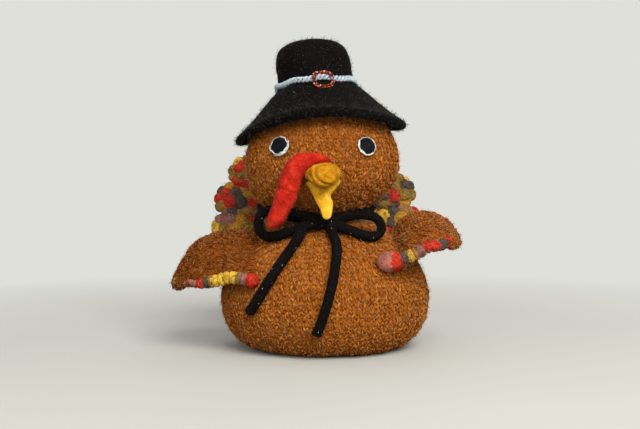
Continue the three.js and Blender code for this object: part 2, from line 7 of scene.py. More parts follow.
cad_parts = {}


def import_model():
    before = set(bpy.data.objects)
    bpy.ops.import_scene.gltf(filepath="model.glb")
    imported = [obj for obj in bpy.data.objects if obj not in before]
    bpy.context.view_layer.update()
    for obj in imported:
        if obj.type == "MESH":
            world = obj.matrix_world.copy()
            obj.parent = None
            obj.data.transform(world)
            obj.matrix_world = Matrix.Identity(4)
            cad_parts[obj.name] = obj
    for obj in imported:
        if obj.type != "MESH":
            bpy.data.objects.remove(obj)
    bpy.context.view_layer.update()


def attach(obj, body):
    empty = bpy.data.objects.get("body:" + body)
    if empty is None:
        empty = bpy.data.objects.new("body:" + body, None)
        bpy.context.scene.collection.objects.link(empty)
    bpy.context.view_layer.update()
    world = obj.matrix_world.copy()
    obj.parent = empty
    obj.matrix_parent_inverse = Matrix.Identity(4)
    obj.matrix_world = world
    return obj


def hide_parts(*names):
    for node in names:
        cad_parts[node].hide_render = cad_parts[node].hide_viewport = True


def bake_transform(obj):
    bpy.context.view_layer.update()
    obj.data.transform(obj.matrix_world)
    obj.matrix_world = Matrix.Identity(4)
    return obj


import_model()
mm = 0.001  # the figure's sizes below are in millimetres, and go into Blender in metres
scene = bpy.context.scene
scene.view_settings.view_transform = "Standard"


# Colours and shader nodes

def srgb(red, green, blue):
    # a colour as it looks on screen, 0 to 255
    shares = [value / 255 for value in (red, green, blue)]
    return (*(s / 12.92 if s < 0.04045 else ((s + 0.055) / 1.055) ** 2.4 for s in shares), 1)


class Shade:
    # wraps a socket, so that sums on it add Math nodes to the material
    def __init__(self, tree, socket=None):
        self.tree = tree
        self.socket = socket

    def node(self, kind, settings=None, inputs=None, output=0):
        made = self.tree.nodes.new("ShaderNode" + kind)
        for key, value in (settings or {}).items():
            if key == "stops":
                ramp = made.color_ramp
                while len(ramp.elements) < len(value):
                    ramp.elements.new(1)
                for element, (place, colour) in zip(ramp.elements, value):
                    element.position = place
                    element.color = colour
            elif key == "steps":
                made.color_ramp.interpolation = value
            else:
                setattr(made, key, value)
        for key, value in (inputs or {}).items():
            if isinstance(value, Shade):
                self.tree.links.new(value.socket, made.inputs[key])
            else:
                made.inputs[key].default_value = value
        return Shade(self.tree, made.outputs[output])

    def math(self, operation, first, second=0.0, clamp=False):
        return self.node("Math", {"operation": operation, "use_clamp": clamp}, {0: first, 1: second})

    def __add__(self, other):
        return self.math("ADD", self, other)

    def __sub__(self, other):
        return self.math("SUBTRACT", self, other)

    def __mul__(self, other):
        return self.math("MULTIPLY", self, other)

    def mix(self, factor, first, second, blend="MIX"):
        settings = {"data_type": "RGBA", "blend_type": blend}
        return self.node("Mix", settings, {0: factor, 6: first, 7: second}, 2)


class Finish:
    # one material with its start, its shader and its usual inputs
    def __init__(self, name, roughness, sheen=0.0, specular=0.05):
        self.material = bpy.data.materials.new(name)
        self.material.use_nodes = True
        self.tree = self.material.node_tree
        self.shader = self.tree.nodes["Principled BSDF"]
        values = {"Roughness": roughness, "Sheen Weight": sheen, "Sheen Roughness": 0.6}
        values["Specular IOR Level"] = specular
        for key, value in values.items():
            self.shader.inputs[key].default_value = value
        self.start = Shade(self.tree)
        self.place = self.start.node("TexCoord", output="Object")

    def noise(self, scale, detail):
        inputs = {"Vector": self.place, "Scale": scale, "Detail": detail, "Roughness": 0.6}
        return self.start.node("TexNoise", {}, inputs)

    def attribute(self, name):
        return self.start.node("Attribute", {"attribute_name": name}, output="Fac")

    def ramp(self, factor, stops, steps="LINEAR"):
        return self.start.node("ValToRGB", {"stops": stops, "steps": steps}, {"Fac": factor})

    def link(self, value, socket="Base Color"):
        self.tree.links.new(value.socket, self.shader.inputs[socket])

    def paint(self, factor, stops):
        self.link(self.ramp(factor, [(place, srgb(*colour)) for place, colour in stops]))

    def bump(self, height, distance):
        self.link(self.start.node("Bump", {}, {"Distance": distance * mm, "Height": height}), "Normal")


# Wool: light and dark fibres carded together

def brownWool(name):
    finish = Finish(name, 0.93)
    tint, fibres, flecks = finish.attribute("tint"), finish.noise(1000, 3), finish.noise(380, 2)
    stops = [(0, (90, 43, 10)), (0.3, (131, 69, 18)), (0.5, (163, 93, 31)), (0.72, (197, 123, 52))]
    finish.paint(tint * 0.72 + fibres * 0.56 + flecks * 0.36 - 0.32, stops + [(1, (234, 177, 107))])
    finish.bump(fibres * 0.6 + flecks * 0.4, 0.35)
    return finish.material


def plainWool(name, dark, middle, light, bumpDepth=0.45):
    # felted wool of one dye, with lighter and darker fibres
    finish = Finish(name, 0.92)
    fibres, clouds = finish.noise(600, 4), finish.noise(160, 3)
    shade = fibres * 0.5 + clouds * 0.5 + finish.attribute("tint") * 0.34 - 0.17
    finish.paint(shade, [(0.22, dark), (0.5, middle), (0.82, light)])
    finish.bump(fibres * 0.7 + clouds * 0.5, bumpDepth)
    return finish.material


def blackWool(name, dark, light, specks):
    # black wool that has caught a few pale specks of lint
    finish = Finish(name, 0.95)
    start = finish.start
    fibres, clouds = finish.noise(820, 4), finish.noise(70, 2)
    cloth = finish.ramp(fibres * 0.7 + clouds * 0.3, [(0.3, srgb(*dark)), (0.75, srgb(*light))])
    cells = {"Vector": finish.place, "Scale": 430}
    away, colour = (start.node("TexVoronoi", {}, cells, output) for output in ("Distance", "Color"))
    chance = start.node("SeparateColor", {}, {"Color": colour})
    lint = start.math("LESS_THAN", away, 0.13) * start.math("GREATER_THAN", chance, 1 - specks)
    finish.link(start.mix(lint, cloth, srgb(206, 210, 220)))
    finish.bump(fibres, 0.4)
    return finish.material


dyes = {
    "red": (178, 48, 34), "maroon": (122, 42, 36), "grey": (76, 68, 63), "olive": (128, 100, 48),
    "gold": (176, 126, 44), "yellow": (206, 166, 60), "mauve": (134, 92, 82), "rose": (164, 102, 86),
    "tan": (146, 104, 64), "brown": (126, 71, 27),
}


def dyedWool(name, guide, stripes, grain, ragged):
    # wool of many dyes with ragged borders: each dye starts at its own value of the guide
    finish = Finish(name, 0.93)
    share = finish.attribute(guide) + finish.noise(grain, 3) * ragged - ragged / 2
    dyed = finish.ramp(share, [(start, srgb(*dyes[dye])) for start, dye in stripes], "CONSTANT")
    fibres, clouds = finish.noise(620, 4), finish.noise(230, 2)
    stops = [(0.3, (0.36, 0.34, 0.34, 1)), (0.53, (1, 1, 1, 1)), (0.82, (1.6, 1.5, 1.4, 1))]
    worn = finish.ramp(fibres + clouds * 0.7 - 0.31, stops)
    finish.link(finish.start.mix(1.0, dyed, worn, "MULTIPLY"))
    finish.bump(fibres * 0.7 + clouds * 0.4, 0.5)
    return finish.material


def fuzzWool(name, dark, light):
    finish = Finish(name, 0.9, sheen=0.2)
    finish.paint(finish.attribute("tint"), [(0.1, dark), (0.9, light)])
    return finish.material


def shinyYarn(name):
    # the hat band: pale, slightly shiny threads, with painted shade in the blue-grey gaps between them
    finish = Finish(name, 0.5, specular=0.4)
    threads = finish.start.math("SINE", finish.attribute("thread") * (2 * math.pi))
    fibres = finish.noise(900, 3)
    stops = [(0.14, (38, 56, 76)), (0.38, (108, 138, 162)), (0.6, (204, 227, 238)), (0.82, (246, 250, 252))]
    finish.paint(threads * 0.22 + fibres * 0.7 + 0.3, stops)
    finish.bump(threads * 0.5 + fibres * 0.3, 0.35)
    return finish.material


def copperBeads(name):
    finish = Finish(name, 0.24, specular=0.5)
    finish.shader.inputs["Metallic"].default_value = 1.0
    # the purple and near-white ends of the ramp are painted glints on a few beads, picked at random; the
    # rest is the copper's own colour
    stops = [(0, (78, 26, 12)), (0.35, (156, 64, 28)), (0.68, (200, 106, 62)), (0.86, (112, 84, 134))]
    finish.paint(finish.attribute("tint"), stops + [(1, (246, 226, 214))])
    finish.link(finish.noise(1500, 2) * 0.3 + 0.12, "Roughness")
    return finish.material


def satinThread(name):
    finish = Finish(name, 0.6, specular=0.12)
    fibres = finish.noise(1100, 3)
    stops = [(0.25, (4, 4, 8)), (0.62, (13, 14, 20)), (0.92, (46, 52, 64))]
    finish.paint(fibres * 0.6 + finish.attribute("tint") * 0.4, stops)
    finish.bump(fibres, 0.15)
    return finish.material


print("materials")
wool = brownWool("brown_wool")
woolFuzz = fuzzWool("brown_fuzz", (120, 66, 24), (222, 160, 92))
cordWool = blackWool("black_cord_wool", (6, 5, 5), (25, 20, 17), 0.18)
hatWool = blackWool("black_hat_wool", (5, 5, 5), (23, 20, 18), 0.008)
blackFuzz = fuzzWool("black_fuzz", (8, 7, 7), (36, 30, 26))
redWool = plainWool("red_wool", (112, 14, 8), (190, 38, 22), (224, 72, 48))
redFuzz = fuzzWool("red_fuzz", (128, 22, 14), (214, 72, 50))
ochreWool = plainWool("ochre_wool", (112, 64, 4), (188, 125, 15), (232, 177, 50))
yellowWool = plainWool("yellow_wool", (160, 100, 10), (234, 172, 36), (252, 214, 88))
beakFuzz = fuzzWool("beak_fuzz", (168, 116, 30), (240, 196, 92))
eyeThread = satinThread("eye_thread")
whiteYarn = plainWool("white_yarn", (116, 124, 120), (210, 217, 212), (248, 251, 249), 0.25)
bandYarn = shinyYarn("band_yarn")
beadCopper = copperBeads("copper_beads")
tailOrder = "olive red gold grey yellow olive mauve grey gold tan red grey".split()
tailPatches = [(i / len(tailOrder), dye) for i, dye in enumerate(tailOrder)]
tailWool = dyedWool("tail_wool", "tint", tailPatches, 420, 3 / len(tailOrder))
tailFuzz = fuzzWool("tail_fuzz", (90, 70, 52), (198, 150, 96))


# Mesh helpers: all places are in millimetres until a mesh is made

sideways, upright = np.array([1.0, 0, 0]), np.array([0, 0, 1.0])


def unit(vectors):
    return vectors / np.maximum(np.linalg.norm(vectors, axis=-1, keepdims=True), 1e-9)


def turnsOf(count):
    # even angles round a circle
    return np.arange(count) * 2 * math.pi / count


def cosSin(degrees):
    return math.cos(math.radians(degrees)), math.sin(math.radians(degrees))


def tipped(places, degrees):
    # turned about a line across the figure
    c, s = cosSin(degrees)
    x, y, z = np.moveaxis(np.asarray(places, float), -1, 0)
    return np.stack([x, c * y + s * z, c * z - s * y], -1)


def stacked(sets):
    # sets of like arrays, joined kind by kind
    return [np.vstack(parts) for parts in zip(*sets)]


def runAlong(points):
    # how far along a route each of its points is
    return np.concatenate([[0], np.cumsum(np.linalg.norm(np.diff(points, axis=0), axis=1))])


def onRoute(points, run, wanted, period=None):
    # places at the wanted distances along a route
    return np.stack([np.interp(wanted, run, column, period=period) for column in points.T], -1)


def makePiece(name, places, faces, material=None):
    mesh = bpy.data.meshes.new(name)
    mesh.from_pydata((np.asarray(places) * mm).tolist(), [], faces)
    mesh.validate()
    mesh.polygons.foreach_set("use_smooth", [True] * len(mesh.polygons))
    mesh.update()
    if material:
        mesh.materials.append(material)
    made = bpy.data.objects.new(name, mesh)
    scene.collection.objects.link(made)
    return made


def settle(piece, moves, slot, *nodes, seam=None, fill=None):
    # gives a piece the body it moves with, or bakes it where it stands if it has a seam, and hides the
    # solids it stands for; slot and fill are not used
    if seam:
        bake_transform(piece)
    else:
        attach(piece, moves)
    if nodes:
        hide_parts(*nodes)


def setValues(piece, name, values, domain="POINT"):
    # an attribute of numbers or of vectors
    values = np.asarray(values, np.float32)
    kind, field = ("FLOAT", "value") if values.ndim == 1 else ("FLOAT_VECTOR", "vector")
    piece.data.attributes.new(name, kind, domain).data.foreach_set(field, values.ravel())


def readAll(items, field, kind=np.float32):
    # three values for each item of a mesh
    values = np.empty(len(items) * 3, kind)
    items.foreach_get(field, values)
    return values.reshape(-1, 3)


def skin(rings, tips=()):
    # places and faces of a tube of rings: closed by its two tips, or running round on itself
    rows, sides, _ = rings.shape
    places, faces = rings.reshape(-1, 3), []
    here, following = np.arange(sides), np.roll(np.arange(sides), -1)
    for i in range(rows - 1 if len(tips) else rows):
        a, b = i * sides, (i + 1) % rows * sides
        faces += np.stack([a + here, a + following, b + following, b + here], 1).tolist()
    if len(tips):
        count, last = len(places), len(places) - sides
        places = np.vstack([places, tips])
        faces += [(count, k, j) for j, k in zip(here.tolist(), following.tolist())]
        faces += [(count + 1, last + j, last + k) for j, k in zip(here.tolist(), following.tolist())]
    return places, faces


def turned(profile, steps, centre=0.0):
    # a profile of radius and height turned about an upright axis, its ends on the axis
    profile = np.asarray(profile, float)
    angles = turnsOf(steps)
    inner = profile[1:-1]
    rings = np.empty((len(inner), steps, 3))
    rings[..., 0] = centre + inner[:, :1] * np.cos(angles)
    rings[..., 1] = inner[:, :1] * np.sin(angles)
    rings[..., 2] = inner[:, 1:]
    return skin(rings, [(centre, 0, profile[0, 1]), (centre, 0, profile[-1, 1])])


def ball(rows, sides):
    angles = np.linspace(0, math.pi, rows)
    return turned(np.stack([np.sin(angles), -np.cos(angles)], 1), sides)


def smoothRoute(points, count):
    # an even run of points on a smooth curve through the given ones
    points = np.asarray(points, float)
    ends = np.vstack([2 * points[0] - points[1], points, 2 * points[-1] - points[-2]])
    t = np.linspace(0, 1, 40, endpoint=False)[:, None]
    fine = []
    for p0, p1, p2, p3 in zip(ends, ends[1:], ends[2:], ends[3:]):
        d0, d1, d2 = (max(np.linalg.norm(b - a) ** 0.5, 1e-4) for a, b in ((p0, p1), (p1, p2), (p2, p3)))
        t1 = ((p1 - p0) / d0 - (p2 - p0) / (d0 + d1) + (p2 - p1) / d1) * d1
        t2 = ((p2 - p1) / d1 - (p3 - p1) / (d1 + d2) + (p3 - p2) / d2) * d1
        second, third = 3 * (p2 - p1) - 2 * t1 - t2, 2 * (p1 - p2) + t1 + t2
        fine.append(p1 + t1 * t + second * t ** 2 + third * t ** 3)
    fine = np.vstack([*fine, points[-1:]])
    run = runAlong(fine)
    return onRoute(fine, run, np.linspace(0, run[-1], count))


def routeFrames(route, across):
    # two directions square to the route at each point, the first carried along without twisting
    along = unit(np.gradient(route, axis=0))
    wide = np.empty_like(route)
    last = np.asarray(across, float)
    for i, direction in enumerate(along):
        last = last - direction * (last @ direction)
        last = last / np.linalg.norm(last)
        wide[i] = last
    return wide, np.cross(along, wide)


def tubeRings(route, wide, deep, radius, sides):
    # rings round a route, with a radius for each ring, or for each ring and side
    angles = turnsOf(sides)[:, None]
    around = wide[:, None] * np.cos(angles) + deep[:, None] * np.sin(angles)
    return route[:, None] + around * radius.reshape(len(route), -1, 1)


def tube(route, across, radius, sides):
    return skin(tubeRings(route, *routeFrames(route, across), radius, sides), (route[0], route[-1]))


def ringTube(route, across, radius, sides):
    # a tube along a closed route
    along = unit(np.roll(route, -1, 0) - np.roll(route, 1, 0))
    wide = unit(across - along * (across * along).sum(1, keepdims=True))
    return skin(tubeRings(route, wide, np.cross(along, wide), radius, sides))


def joinMeshes(meshes):
    # one set of places and faces, and which mesh each place came from
    places, faces, owner = np.zeros((0, 3)), [], []
    for number, (more, moreFaces) in enumerate(meshes):
        faces += [[v + len(places) for v in face] for face in moreFaces]
        places = np.vstack([places, more])
        owner += [number] * len(more)
    return places, faces, np.array(owner)


def lumps(places, size, seed):
    # smooth unevenness from about -1 to 1
    return np.array([noise.noise(Vector((x + seed, y, z))) for x, y, z in np.asarray(places) / size])


def swollen(piece, *rounds):
    # pushes a mesh in and out along its normals, as hand-felted wool is uneven: size, depth and seed
    mesh = piece.data
    for size, depth, seed in rounds:
        places, facing = readAll(mesh.vertices, "co"), readAll(mesh.vertices, "normal")
        places = places + facing * (lumps(places / mm, size, seed) * depth * mm)[:, None]
        mesh.vertices.foreach_set("co", places.astype(np.float32).ravel())
        mesh.update()


def roundEnds(along, start, end):
    near, far = np.minimum(1, along / start), np.minimum(1, (1 - along) / end)
    return np.sqrt(np.clip(1 - (1 - near) ** 2, 0, 1)) * np.sqrt(np.clip(1 - (1 - far) ** 2, 0, 1))


def smoothStep(low, high, values):
    share = np.clip((np.asarray(values, float) - low) / (high - low), 0, 1)
    return share * share * (3 - 2 * share)


def hump(values, middle, width):
    return np.exp(-((values - middle) / width) ** 2)


# Scattering: stitches, fibres and beads are set out by one node tree

def scatterTree():
    tree = bpy.data.node_groups.new("scatter", "GeometryNodeTree")
    sockets = {"Geometry": "Geometry", "Places": "Object", "Shape": "Object", "Material": "Material"}
    sockets |= {"Turn": "Float", "Least size": "Float", "Most size": "Float", "Seed": "Int"}
    for label, kind in sockets.items():
        tree.interface.new_socket(label, in_out="INPUT", socket_type="NodeSocket" + kind)
    tree.interface.new_socket("Geometry", in_out="OUTPUT", socket_type="NodeSocketGeometry")

    def add(kind, inputs, output=0, **settings):
        made = tree.nodes.new(kind)
        for key, value in settings.items():
            setattr(made, key, value)
        for key, value in inputs.items():
            for each in value if isinstance(value, list) else [value]:
                if isinstance(each, bpy.types.NodeSocket):
                    tree.links.new(each, made.inputs[key])
                else:
                    made.inputs[key].default_value = each
        return made.outputs[output]

    def vectors(name):
        return add("GeometryNodeInputNamedAttribute", {"Name": name}, "Attribute", data_type="FLOAT_VECTOR")

    given = tree.nodes.new("NodeGroupInput").outputs
    seed = given["Seed"]
    names = ("Places", "Shape")
    places, shape = (add("GeometryNodeObjectInfo", {"Object": given[name]}, "Geometry") for name in names)
    axes = {"Primary Axis": vectors("facing"), "Secondary Axis": vectors("upwards")}
    straight = add("FunctionNodeAxesToRotation", axes, primary_axis="Z", secondary_axis="Y")
    turnRange = {"Min": (-1, -1, -1), "Max": (1, 1, 1), "Seed": seed}
    anyTurn = add("FunctionNodeRandomValue", turnRange, data_type="FLOAT_VECTOR")
    turn = add("ShaderNodeVectorMath", {0: anyTurn, "Scale": given["Turn"]}, operation="SCALE")
    euler = add("FunctionNodeEulerToRotation", {"Euler": turn})
    bent = add("FunctionNodeRotateRotation", {0: straight, 1: euler}, rotation_space="LOCAL")
    sizeRange = {2: given["Least size"], 3: given["Most size"], "Seed": seed}
    size = add("FunctionNodeRandomValue", sizeRange, 1, data_type="FLOAT")
    copied = {"Points": places, "Instance": shape, "Rotation": bent, "Scale": size}
    solid = add("GeometryNodeRealizeInstances", {"Geometry": add("GeometryNodeInstanceOnPoints", copied)})
    joined = add("GeometryNodeJoinGeometry", {0: [solid, given["Geometry"]]})
    painted = add("GeometryNodeSetMaterial", {"Geometry": joined, "Material": given["Material"]})
    tree.links.new(painted, tree.nodes.new("NodeGroupOutput").inputs[0])
    return tree


scatter = scatterTree()


def scatterOn(base, spots, tint, shape, material, turn, sizes, seed):
    # sets copies of a shape on places that face and point some way, joined to the base piece
    cloud = makePiece("places", spots[0], [])
    for name, values in (("facing", spots[1]), ("upwards", spots[2]), ("tint", tint)):
        setValues(cloud, name, values)
    modifier = base.modifiers.new("scatter", "NODES")
    modifier.node_group = scatter
    values = {"Places": cloud, "Shape": shape, "Material": material, "Turn": turn, "Seed": seed}
    values["Least size"], values["Most size"] = sizes
    for socket in scatter.interface.items_tree:
        if socket.in_out == "INPUT" and socket.name in values:
            modifier[socket.identifier] = values[socket.name]
    bpy.context.view_layer.update()
    mesh = bpy.data.meshes.new_from_object(base.evaluated_get(bpy.context.evaluated_depsgraph_get()))
    base.modifiers.remove(modifier)
    for name in ("facing", "upwards"):
        if name in mesh.attributes:
            mesh.attributes.remove(mesh.attributes[name])
    mesh.polygons.foreach_set("use_smooth", [True] * len(mesh.polygons))
    base.data = mesh
    bpy.data.objects.remove(cloud)
    return base


knit = {
    "pitch": 3.5, "row": 2.95, "lean": 24, "stray": 0.42, "wide": 1.62, "long": 4.4, "puff": 0.64,
    "sides": 4, "rings": 2, "gores": 8, "sizes": (0.78, 1.2), "waver": (0.3, 0.4), "shade": 0.48,
    "tint": (0.52, 0.12, 0.05), "turn": 0.2,
}
hair = {
    "length": 3.8, "width": 0.21, "bend": 1.5, "segments": 3, "curl": 0.25, "turn": 1.15,
    "sunk": 0.4, "clear": 4, "sides": 90,
}


def stitchShape():
    # one leg of a knitted stitch: a plump length of yarn, pointed at both ends
    angles = turnsOf(knit["sides"])
    half = knit["long"] / 2
    rings = []
    for share in np.linspace(-1, 1, knit["rings"] + 2)[1:-1]:
        girth = math.sqrt(1 - share * share)
        level = np.full(len(angles), share * half)
        across = knit["wide"] / 2 * girth * np.cos(angles)
        rings.append(np.stack([across, level, knit["puff"] * girth * np.sin(angles)], 1))
    places, faces = skin(np.array(rings), [(0, -half, 0), (0, half, 0)])
    return makePiece("stitch", places, [face[::-1] for face in faces])


def fibreShape():
    # one loose fibre that curls over
    rows = hair["segments"]
    share = np.linspace(0, 1, rows + 1)[:-1]
    rise = hair["length"] * share * (1 - hair["curl"] * share)
    route = np.stack([hair["bend"] * share ** 2, np.zeros(rows), rise], 1)
    around = hair["width"] / 2 * np.array([(math.cos(a), math.sin(a), 0) for a in turnsOf(3)])
    tip = (hair["bend"], 0, hair["length"] * (1 - hair["curl"]))
    return makePiece("fibre", *skin(route[:, None] + around, [route[0], tip]))


stitch = stitchShape()
fibre = fibreShape()


def squareTo(facing, rng):
    # any direction along the surface
    return unit(np.cross(facing, rng.normal(size=facing.shape)))


def fuzz(name, places, facing, material, seed, sizes=(0.5, 1.3)):
    # loose fibres that stand off a surface
    rng = np.random.default_rng(seed)
    base = makePiece(name, np.zeros((0, 3)), [])
    tint = rng.random(len(places))
    spots = places, facing, squareTo(facing, rng)
    return scatterOn(base, spots, tint, fibre, material, hair["turn"], sizes, seed)


def spread(piece, count, seed):
    # even random places on a mesh, with the way each faces
    mesh = piece.data
    mesh.calc_loop_triangles()
    corners = readAll(mesh.loop_triangles, "vertices", np.int32)
    a, b, c = readAll(mesh.vertices, "co")[corners].transpose(1, 0, 2)
    square = np.cross(b - a, c - a)
    area = np.linalg.norm(square, axis=1)
    rng = np.random.default_rng(seed)
    pick = rng.choice(len(area), count, p=area / area.sum())
    u, v = rng.random((2, count, 1))
    fold = u + v > 1
    u, v = np.where(fold, 1 - u, u), np.where(fold, 1 - v, v)
    return (a[pick] + (b - a)[pick] * u + (c - a)[pick] * v) / mm, unit(square[pick])


# Body and head: knitted balls, wider than they are tall

body = {
    "radius": 81, "belly": 38, "base": 50, "dome": 64, "shell": 1.3, "sink": 0.8, "floor": 1.7,
    "steps": 24, "sides": 110, "rows": (44, 38), "seeds": (11, 4), "fibres": 9000, "fuzzSeed": 9034,
    "nodes": ("body_cover", "body_stuffing", "weight_pouch"),
}
head = {
    "radius": 60, "height": 142, "rise": 56, "drop": 46, "shift": -2.2, "slump": 4.5, "slumpFrom": (8, 34),
    "steps": 32, "sides": 100, "rows": (26, 4), "seeds": (23, 9), "fibres": 6500, "fuzzSeed": 6534,
    "clear": 0.3, "nodes": ("head_cover", "head_stuffing", "neck_seam"),
}


def bodyProfile(inset, steps=40):
    low = np.linspace(-math.pi / 2, 0, steps)
    high = np.linspace(0, math.pi / 2, steps)[1:]
    side = body["radius"] - body["base"] - inset
    lowHalf = [body["base"] + side * np.cos(low), body["belly"] + (body["belly"] - inset) * np.sin(low)]
    reach, rise = body["radius"] - inset, body["dome"] - inset
    highHalf = [reach * np.cos(high), body["belly"] + rise * np.sin(high)]
    floor = [np.linspace(0, body["base"], 12, endpoint=False), np.full(12, inset)]
    return np.vstack([np.stack(part, 1) for part in (floor, lowHalf, highHalf)])


def headProfile(inset, steps=48):
    angles = np.linspace(-math.pi / 2, math.pi / 2, 2 * steps)
    half = np.where(angles < 0, head["drop"] - inset, head["rise"] - inset)
    return np.stack([(head["radius"] - inset) * np.cos(angles), head["height"] + half * np.sin(angles)], 1)


def clearOfBody(places, gap):
    # moves places that lie inside the body out to its surface
    places = np.array(places, float)
    reach = np.hypot(places[:, 0], places[:, 1])
    rise = np.where(places[:, 2] > body["belly"], body["dome"] + gap, body["belly"])
    depth = np.hypot(reach / (body["radius"] + gap), (places[:, 2] - body["belly"]) / rise)
    middle = np.array([0, 0, body["belly"]])
    inside = (depth < 1) & (places[:, 2] > 0)
    grow = np.where(inside, 1 / np.maximum(depth, 0.05), 1)
    return middle + (places - middle) * grow[:, None]


def outsideBody(places):
    return np.linalg.norm(clearOfBody(places, 0) - places, axis=1) < 0.01


def clearOfHead(places, gap):
    places = np.array(places, float)
    middle = np.array([head["shift"], 0, head["height"]])
    away = places - middle
    rise = np.where(away[:, 2] > 0, head["rise"], head["drop"]) + gap
    flat = (away[:, 0] ** 2 + away[:, 1] ** 2) / (head["radius"] + gap) ** 2
    depth = np.sqrt(flat + (away[:, 2] / rise) ** 2)
    grow = np.where(depth < 1, 1 / np.maximum(depth, 0.05), 1)
    return middle + away * grow[:, None]


def bodyPlace(azimuth, height, standoff):
    # a place at a distance off the dome of the body
    rise = (height - body["belly"]) / body["dome"]
    reach = body["radius"] * math.sqrt(1 - rise * rise)
    c, s = cosSin(azimuth)
    spot = np.array([reach * c, reach * s, height])
    square = np.array([spot[0] / body["radius"] ** 2, spot[1] / body["radius"] ** 2, rise / body["dome"]])
    return spot + standoff * square / np.linalg.norm(square)


def facePlace(across, height):
    # a place on the front of the head, and the way it faces
    half = head["rise"] if height > head["height"] else head["drop"]
    rise = (height - head["height"]) / half
    depth = -math.sqrt(head["radius"] ** 2 * (1 - rise * rise) - across * across)
    square = np.array([across / head["radius"] ** 2, depth / head["radius"] ** 2, rise / half])
    return np.array([head["shift"] + across, depth, height]), square / np.linalg.norm(square)


def knitRows(profile, start, short, centre, rng):
    # stitch places row by row up a profile: whole stitches in each gore, fewer where it narrows
    run = runAlong(profile)
    gores = knit["gores"]
    sets = []
    for s in np.arange(start, run[-1] - short, knit["row"]):
        (radius, height), ahead, behind = (onRoute(profile, run, s + d) for d in (0, 0.4, -0.4))
        along = (ahead - behind) / np.linalg.norm(ahead - behind)
        count = max(1, 2 * round((2 * math.pi * radius / gores / knit["pitch"] - 1) / 2) + 1)
        for gore in range(gores):
            middle = -math.pi / 2 + 2 * math.pi * gore / gores
            angles = middle + (np.arange(count) - (count - 1) / 2) * 2 * math.pi / gores / count
            angles = angles + rng.normal(size=count) * knit["waver"][0] / max(radius, 4)
            lift = height + rng.normal(size=count) * knit["waver"][1]
            c, n = np.cos(angles), np.sin(angles)
            sets.append((
                np.stack([centre + radius * c, radius * n, lift], 1),
                np.stack([along[1] * c, along[1] * n, np.full(count, -along[0])], 1),
                np.stack([along[0] * c, along[0] * n, np.full(count, along[1])], 1),
            ))
    return stacked(sets)


def inLegs(places, facing, upwards, rng):
    # each stitch is two legs that lean apart, none of them quite in line
    across = np.cross(upwards, facing)
    c, s = cosSin(knit["lean"])
    legs = []
    for side in (-1, 1):
        shift = across * (side * knit["pitch"] / 4)
        stray = rng.normal(size=places.shape) * knit["stray"]
        legs.append((places + shift + stray, facing, upwards * c + across * (side * s)))
    return stacked(legs)


def knitTint(places, rng):
    # carded wool: most legs are near the middle shade, some run lighter or darker
    middle, strayed, clouded = knit["tint"]
    tint = middle + strayed * rng.normal(size=len(places)) + clouded * lumps(places, 16, 3.7)
    return np.clip(tint, 0, 1)


def slumped(places):
    # below the cheeks the stuffing has settled towards the right
    places = np.array(places, float)
    places[:, 0] -= head["slump"] * smoothStep(*head["slumpFrom"], head["height"] - places[:, 2])
    return places


def ballKnit(name, shape, profile, centre):
    rng = np.random.default_rng(shape["seeds"][0])
    places, faces = turned(profile(body["shell"], shape["steps"]), shape["sides"], centre)
    if name == "head":
        places = clearOfBody(slumped(places), head["clear"])
    base = makePiece(name + "_knit", places, faces, wool)
    # the shell, seen in the gaps between the legs, is a little darker than the legs: painted shade between
    # the stitches
    setValues(base, "tint", np.full(len(places), knit["shade"]))
    rows = knitRows(profile(body["sink"]), *shape["rows"], centre, rng)
    places, facing, upwards = inLegs(*rows, rng)
    places[:, 2] = np.maximum(places[:, 2], body["floor"])
    tint = knitTint(places, rng)
    spots = slumped(places) if name == "head" else places, facing, upwards
    scatterOn(base, spots, tint, stitch, wool, knit["turn"], knit["sizes"], shape["seeds"][1])
    settle(base, "figure", "brown_wool", *shape["nodes"], fill=0.9)


def ballFuzz(name, shape, profile, centre):
    places, faces = turned(profile(hair["sunk"]), hair["sides"], centre)
    form = makePiece(name + "_form", slumped(places) if name == "head" else places, faces)
    places, facing = spread(form, shape["fibres"], shape["fuzzSeed"])
    bpy.data.objects.remove(form)
    clear = places[:, 2] > hair["clear"]
    hairs = fuzz(name + "_fuzz", places[clear], facing[clear], woolFuzz, shape["fibres"])
    settle(hairs, "figure", "brown_wool")


for make in (ballKnit, ballFuzz):
    make("body", body, bodyProfile, 0)
    make("head", head, headProfile, head["shift"])
print("body and head knitted")


# Cords: the tie is a knitted cord, bow loops and ends lying on the chest

